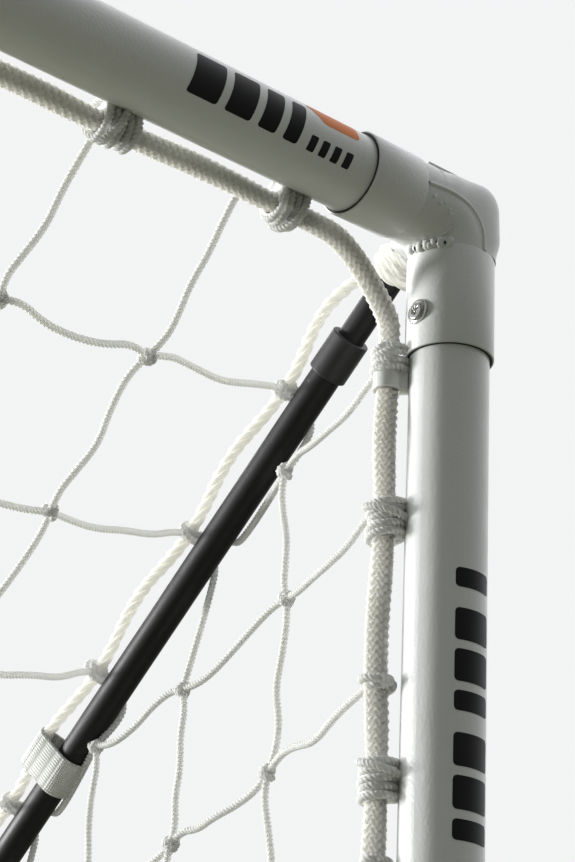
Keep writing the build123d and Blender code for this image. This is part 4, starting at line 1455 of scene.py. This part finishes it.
def printed_shape(outline, rounding, steps=3):
    """A flat rounded patch, cut into narrow strips so that it can be wrapped on a tube."""
    work = bmesh.new()
    corners = [work.verts.new((along, round_way, 0.0)) for along, round_way in outline]
    work.faces.new(corners)
    bmesh.ops.bevel(work, geom=work.verts[:], offset=rounding, offset_type="OFFSET", segments=steps,
                    profile=0.5, affect="VERTICES", material=-1)
    low = min(vertex.co.y for vertex in work.verts)
    high = max(vertex.co.y for vertex in work.verts)
    strip = tube_radius * math.radians(3.0)
    cut = low + strip
    while cut < high:
        bmesh.ops.bisect_plane(work, geom=work.verts[:] + work.edges[:] + work.faces[:], dist=1e-6,
                               plane_co=(0, cut, 0), plane_no=(0, 1, 0))
        cut += strip
    return work


def wrap(work, to_tube, name):
    """Wraps a flat patch on a tube by the given rule and thickens it outwards."""
    made = bmesh.ops.extrude_face_region(work, geom=work.faces[:])
    raised = {item for item in made["geom"] if isinstance(item, bmesh.types.BMVert)}
    for vertex in work.verts:
        lift = print_thickness if vertex in raised else 0.00002
        vertex.co = to_tube(vertex.co.x, vertex.co.y, tube_radius + lift)
    bmesh.ops.recalc_face_normals(work, faces=work.faces[:])
    mesh = bpy.data.meshes.new(name)
    work.to_mesh(mesh)
    work.free()
    mesh.uv_layers.new(name="UVMap")
    return mesh


def on_bar(along, arc, radius):
    """A place on the front of the crossbar: distance from the corner, and arc length upwards from the front."""
    angle = arc / tube_radius
    return Vector((post_x - along, front_y - radius * math.cos(angle), bar_z + radius * math.sin(angle)))


def on_post(drop, arc, radius):
    """A place on the front of the right post: distance below the corner, and arc length to the right."""
    angle = arc / tube_radius
    return Vector((post_x + radius * math.sin(angle), front_y - radius * math.cos(angle), bar_z - drop))


def slanted(start, stop, low, high, slant):
    """The outline of a slanted block."""
    return [(start, low), (stop, low), (stop - slant, high), (start - slant, high)]


def build_prints():
    """Plain graphic blocks in place of printing: bold slanted bars, an orange tab and small ticks."""
    black, orange = [], []
    bold_low, bold_high = -0.0135, 0.0105
    bold_blocks = ((0.1935, 0.0185), (0.1700, 0.0160), (0.1490, 0.0110), (0.1330, 0.0090))
    for start, width in bold_blocks:
        black.append(wrap(printed_shape(slanted(start, start - width, bold_low, bold_high, 0.004), 0.0016),
                          on_bar, "print"))
    tick_low, tick_high = -0.0135, -0.0050
    tick_width, tick_pitch, ticks = 0.0046, 0.0078, 4
    for index in range(ticks):
        start = 0.1175 - tick_pitch * index
        black.append(wrap(printed_shape(slanted(start, start - tick_width, tick_low, tick_high, 0.0012), 0.0008),
                          on_bar, "print"))
    orange.append(wrap(printed_shape([(0.1080, 0.0045), (0.0850, 0.0045), (0.0850, 0.0150), (0.1190, 0.0150)],
                                     0.0022), on_bar, "print"))
    block_low, block_high = -0.0110, 0.0120
    top, block, gap = 0.205, 0.0165, 0.0045
    for index in range(7):
        start = top + (block + gap) * index
        tall = block if index % 3 else block * 0.62
        black.append(wrap(printed_shape(
            [(start, block_low), (start + tall, block_low), (start + tall, block_high), (start, block_high)],
            0.0022), on_post, "print"))
    piece("black_prints", black, finishes["black_print"])
    piece("orange_print", orange, finishes["orange_print"])


build_prints()
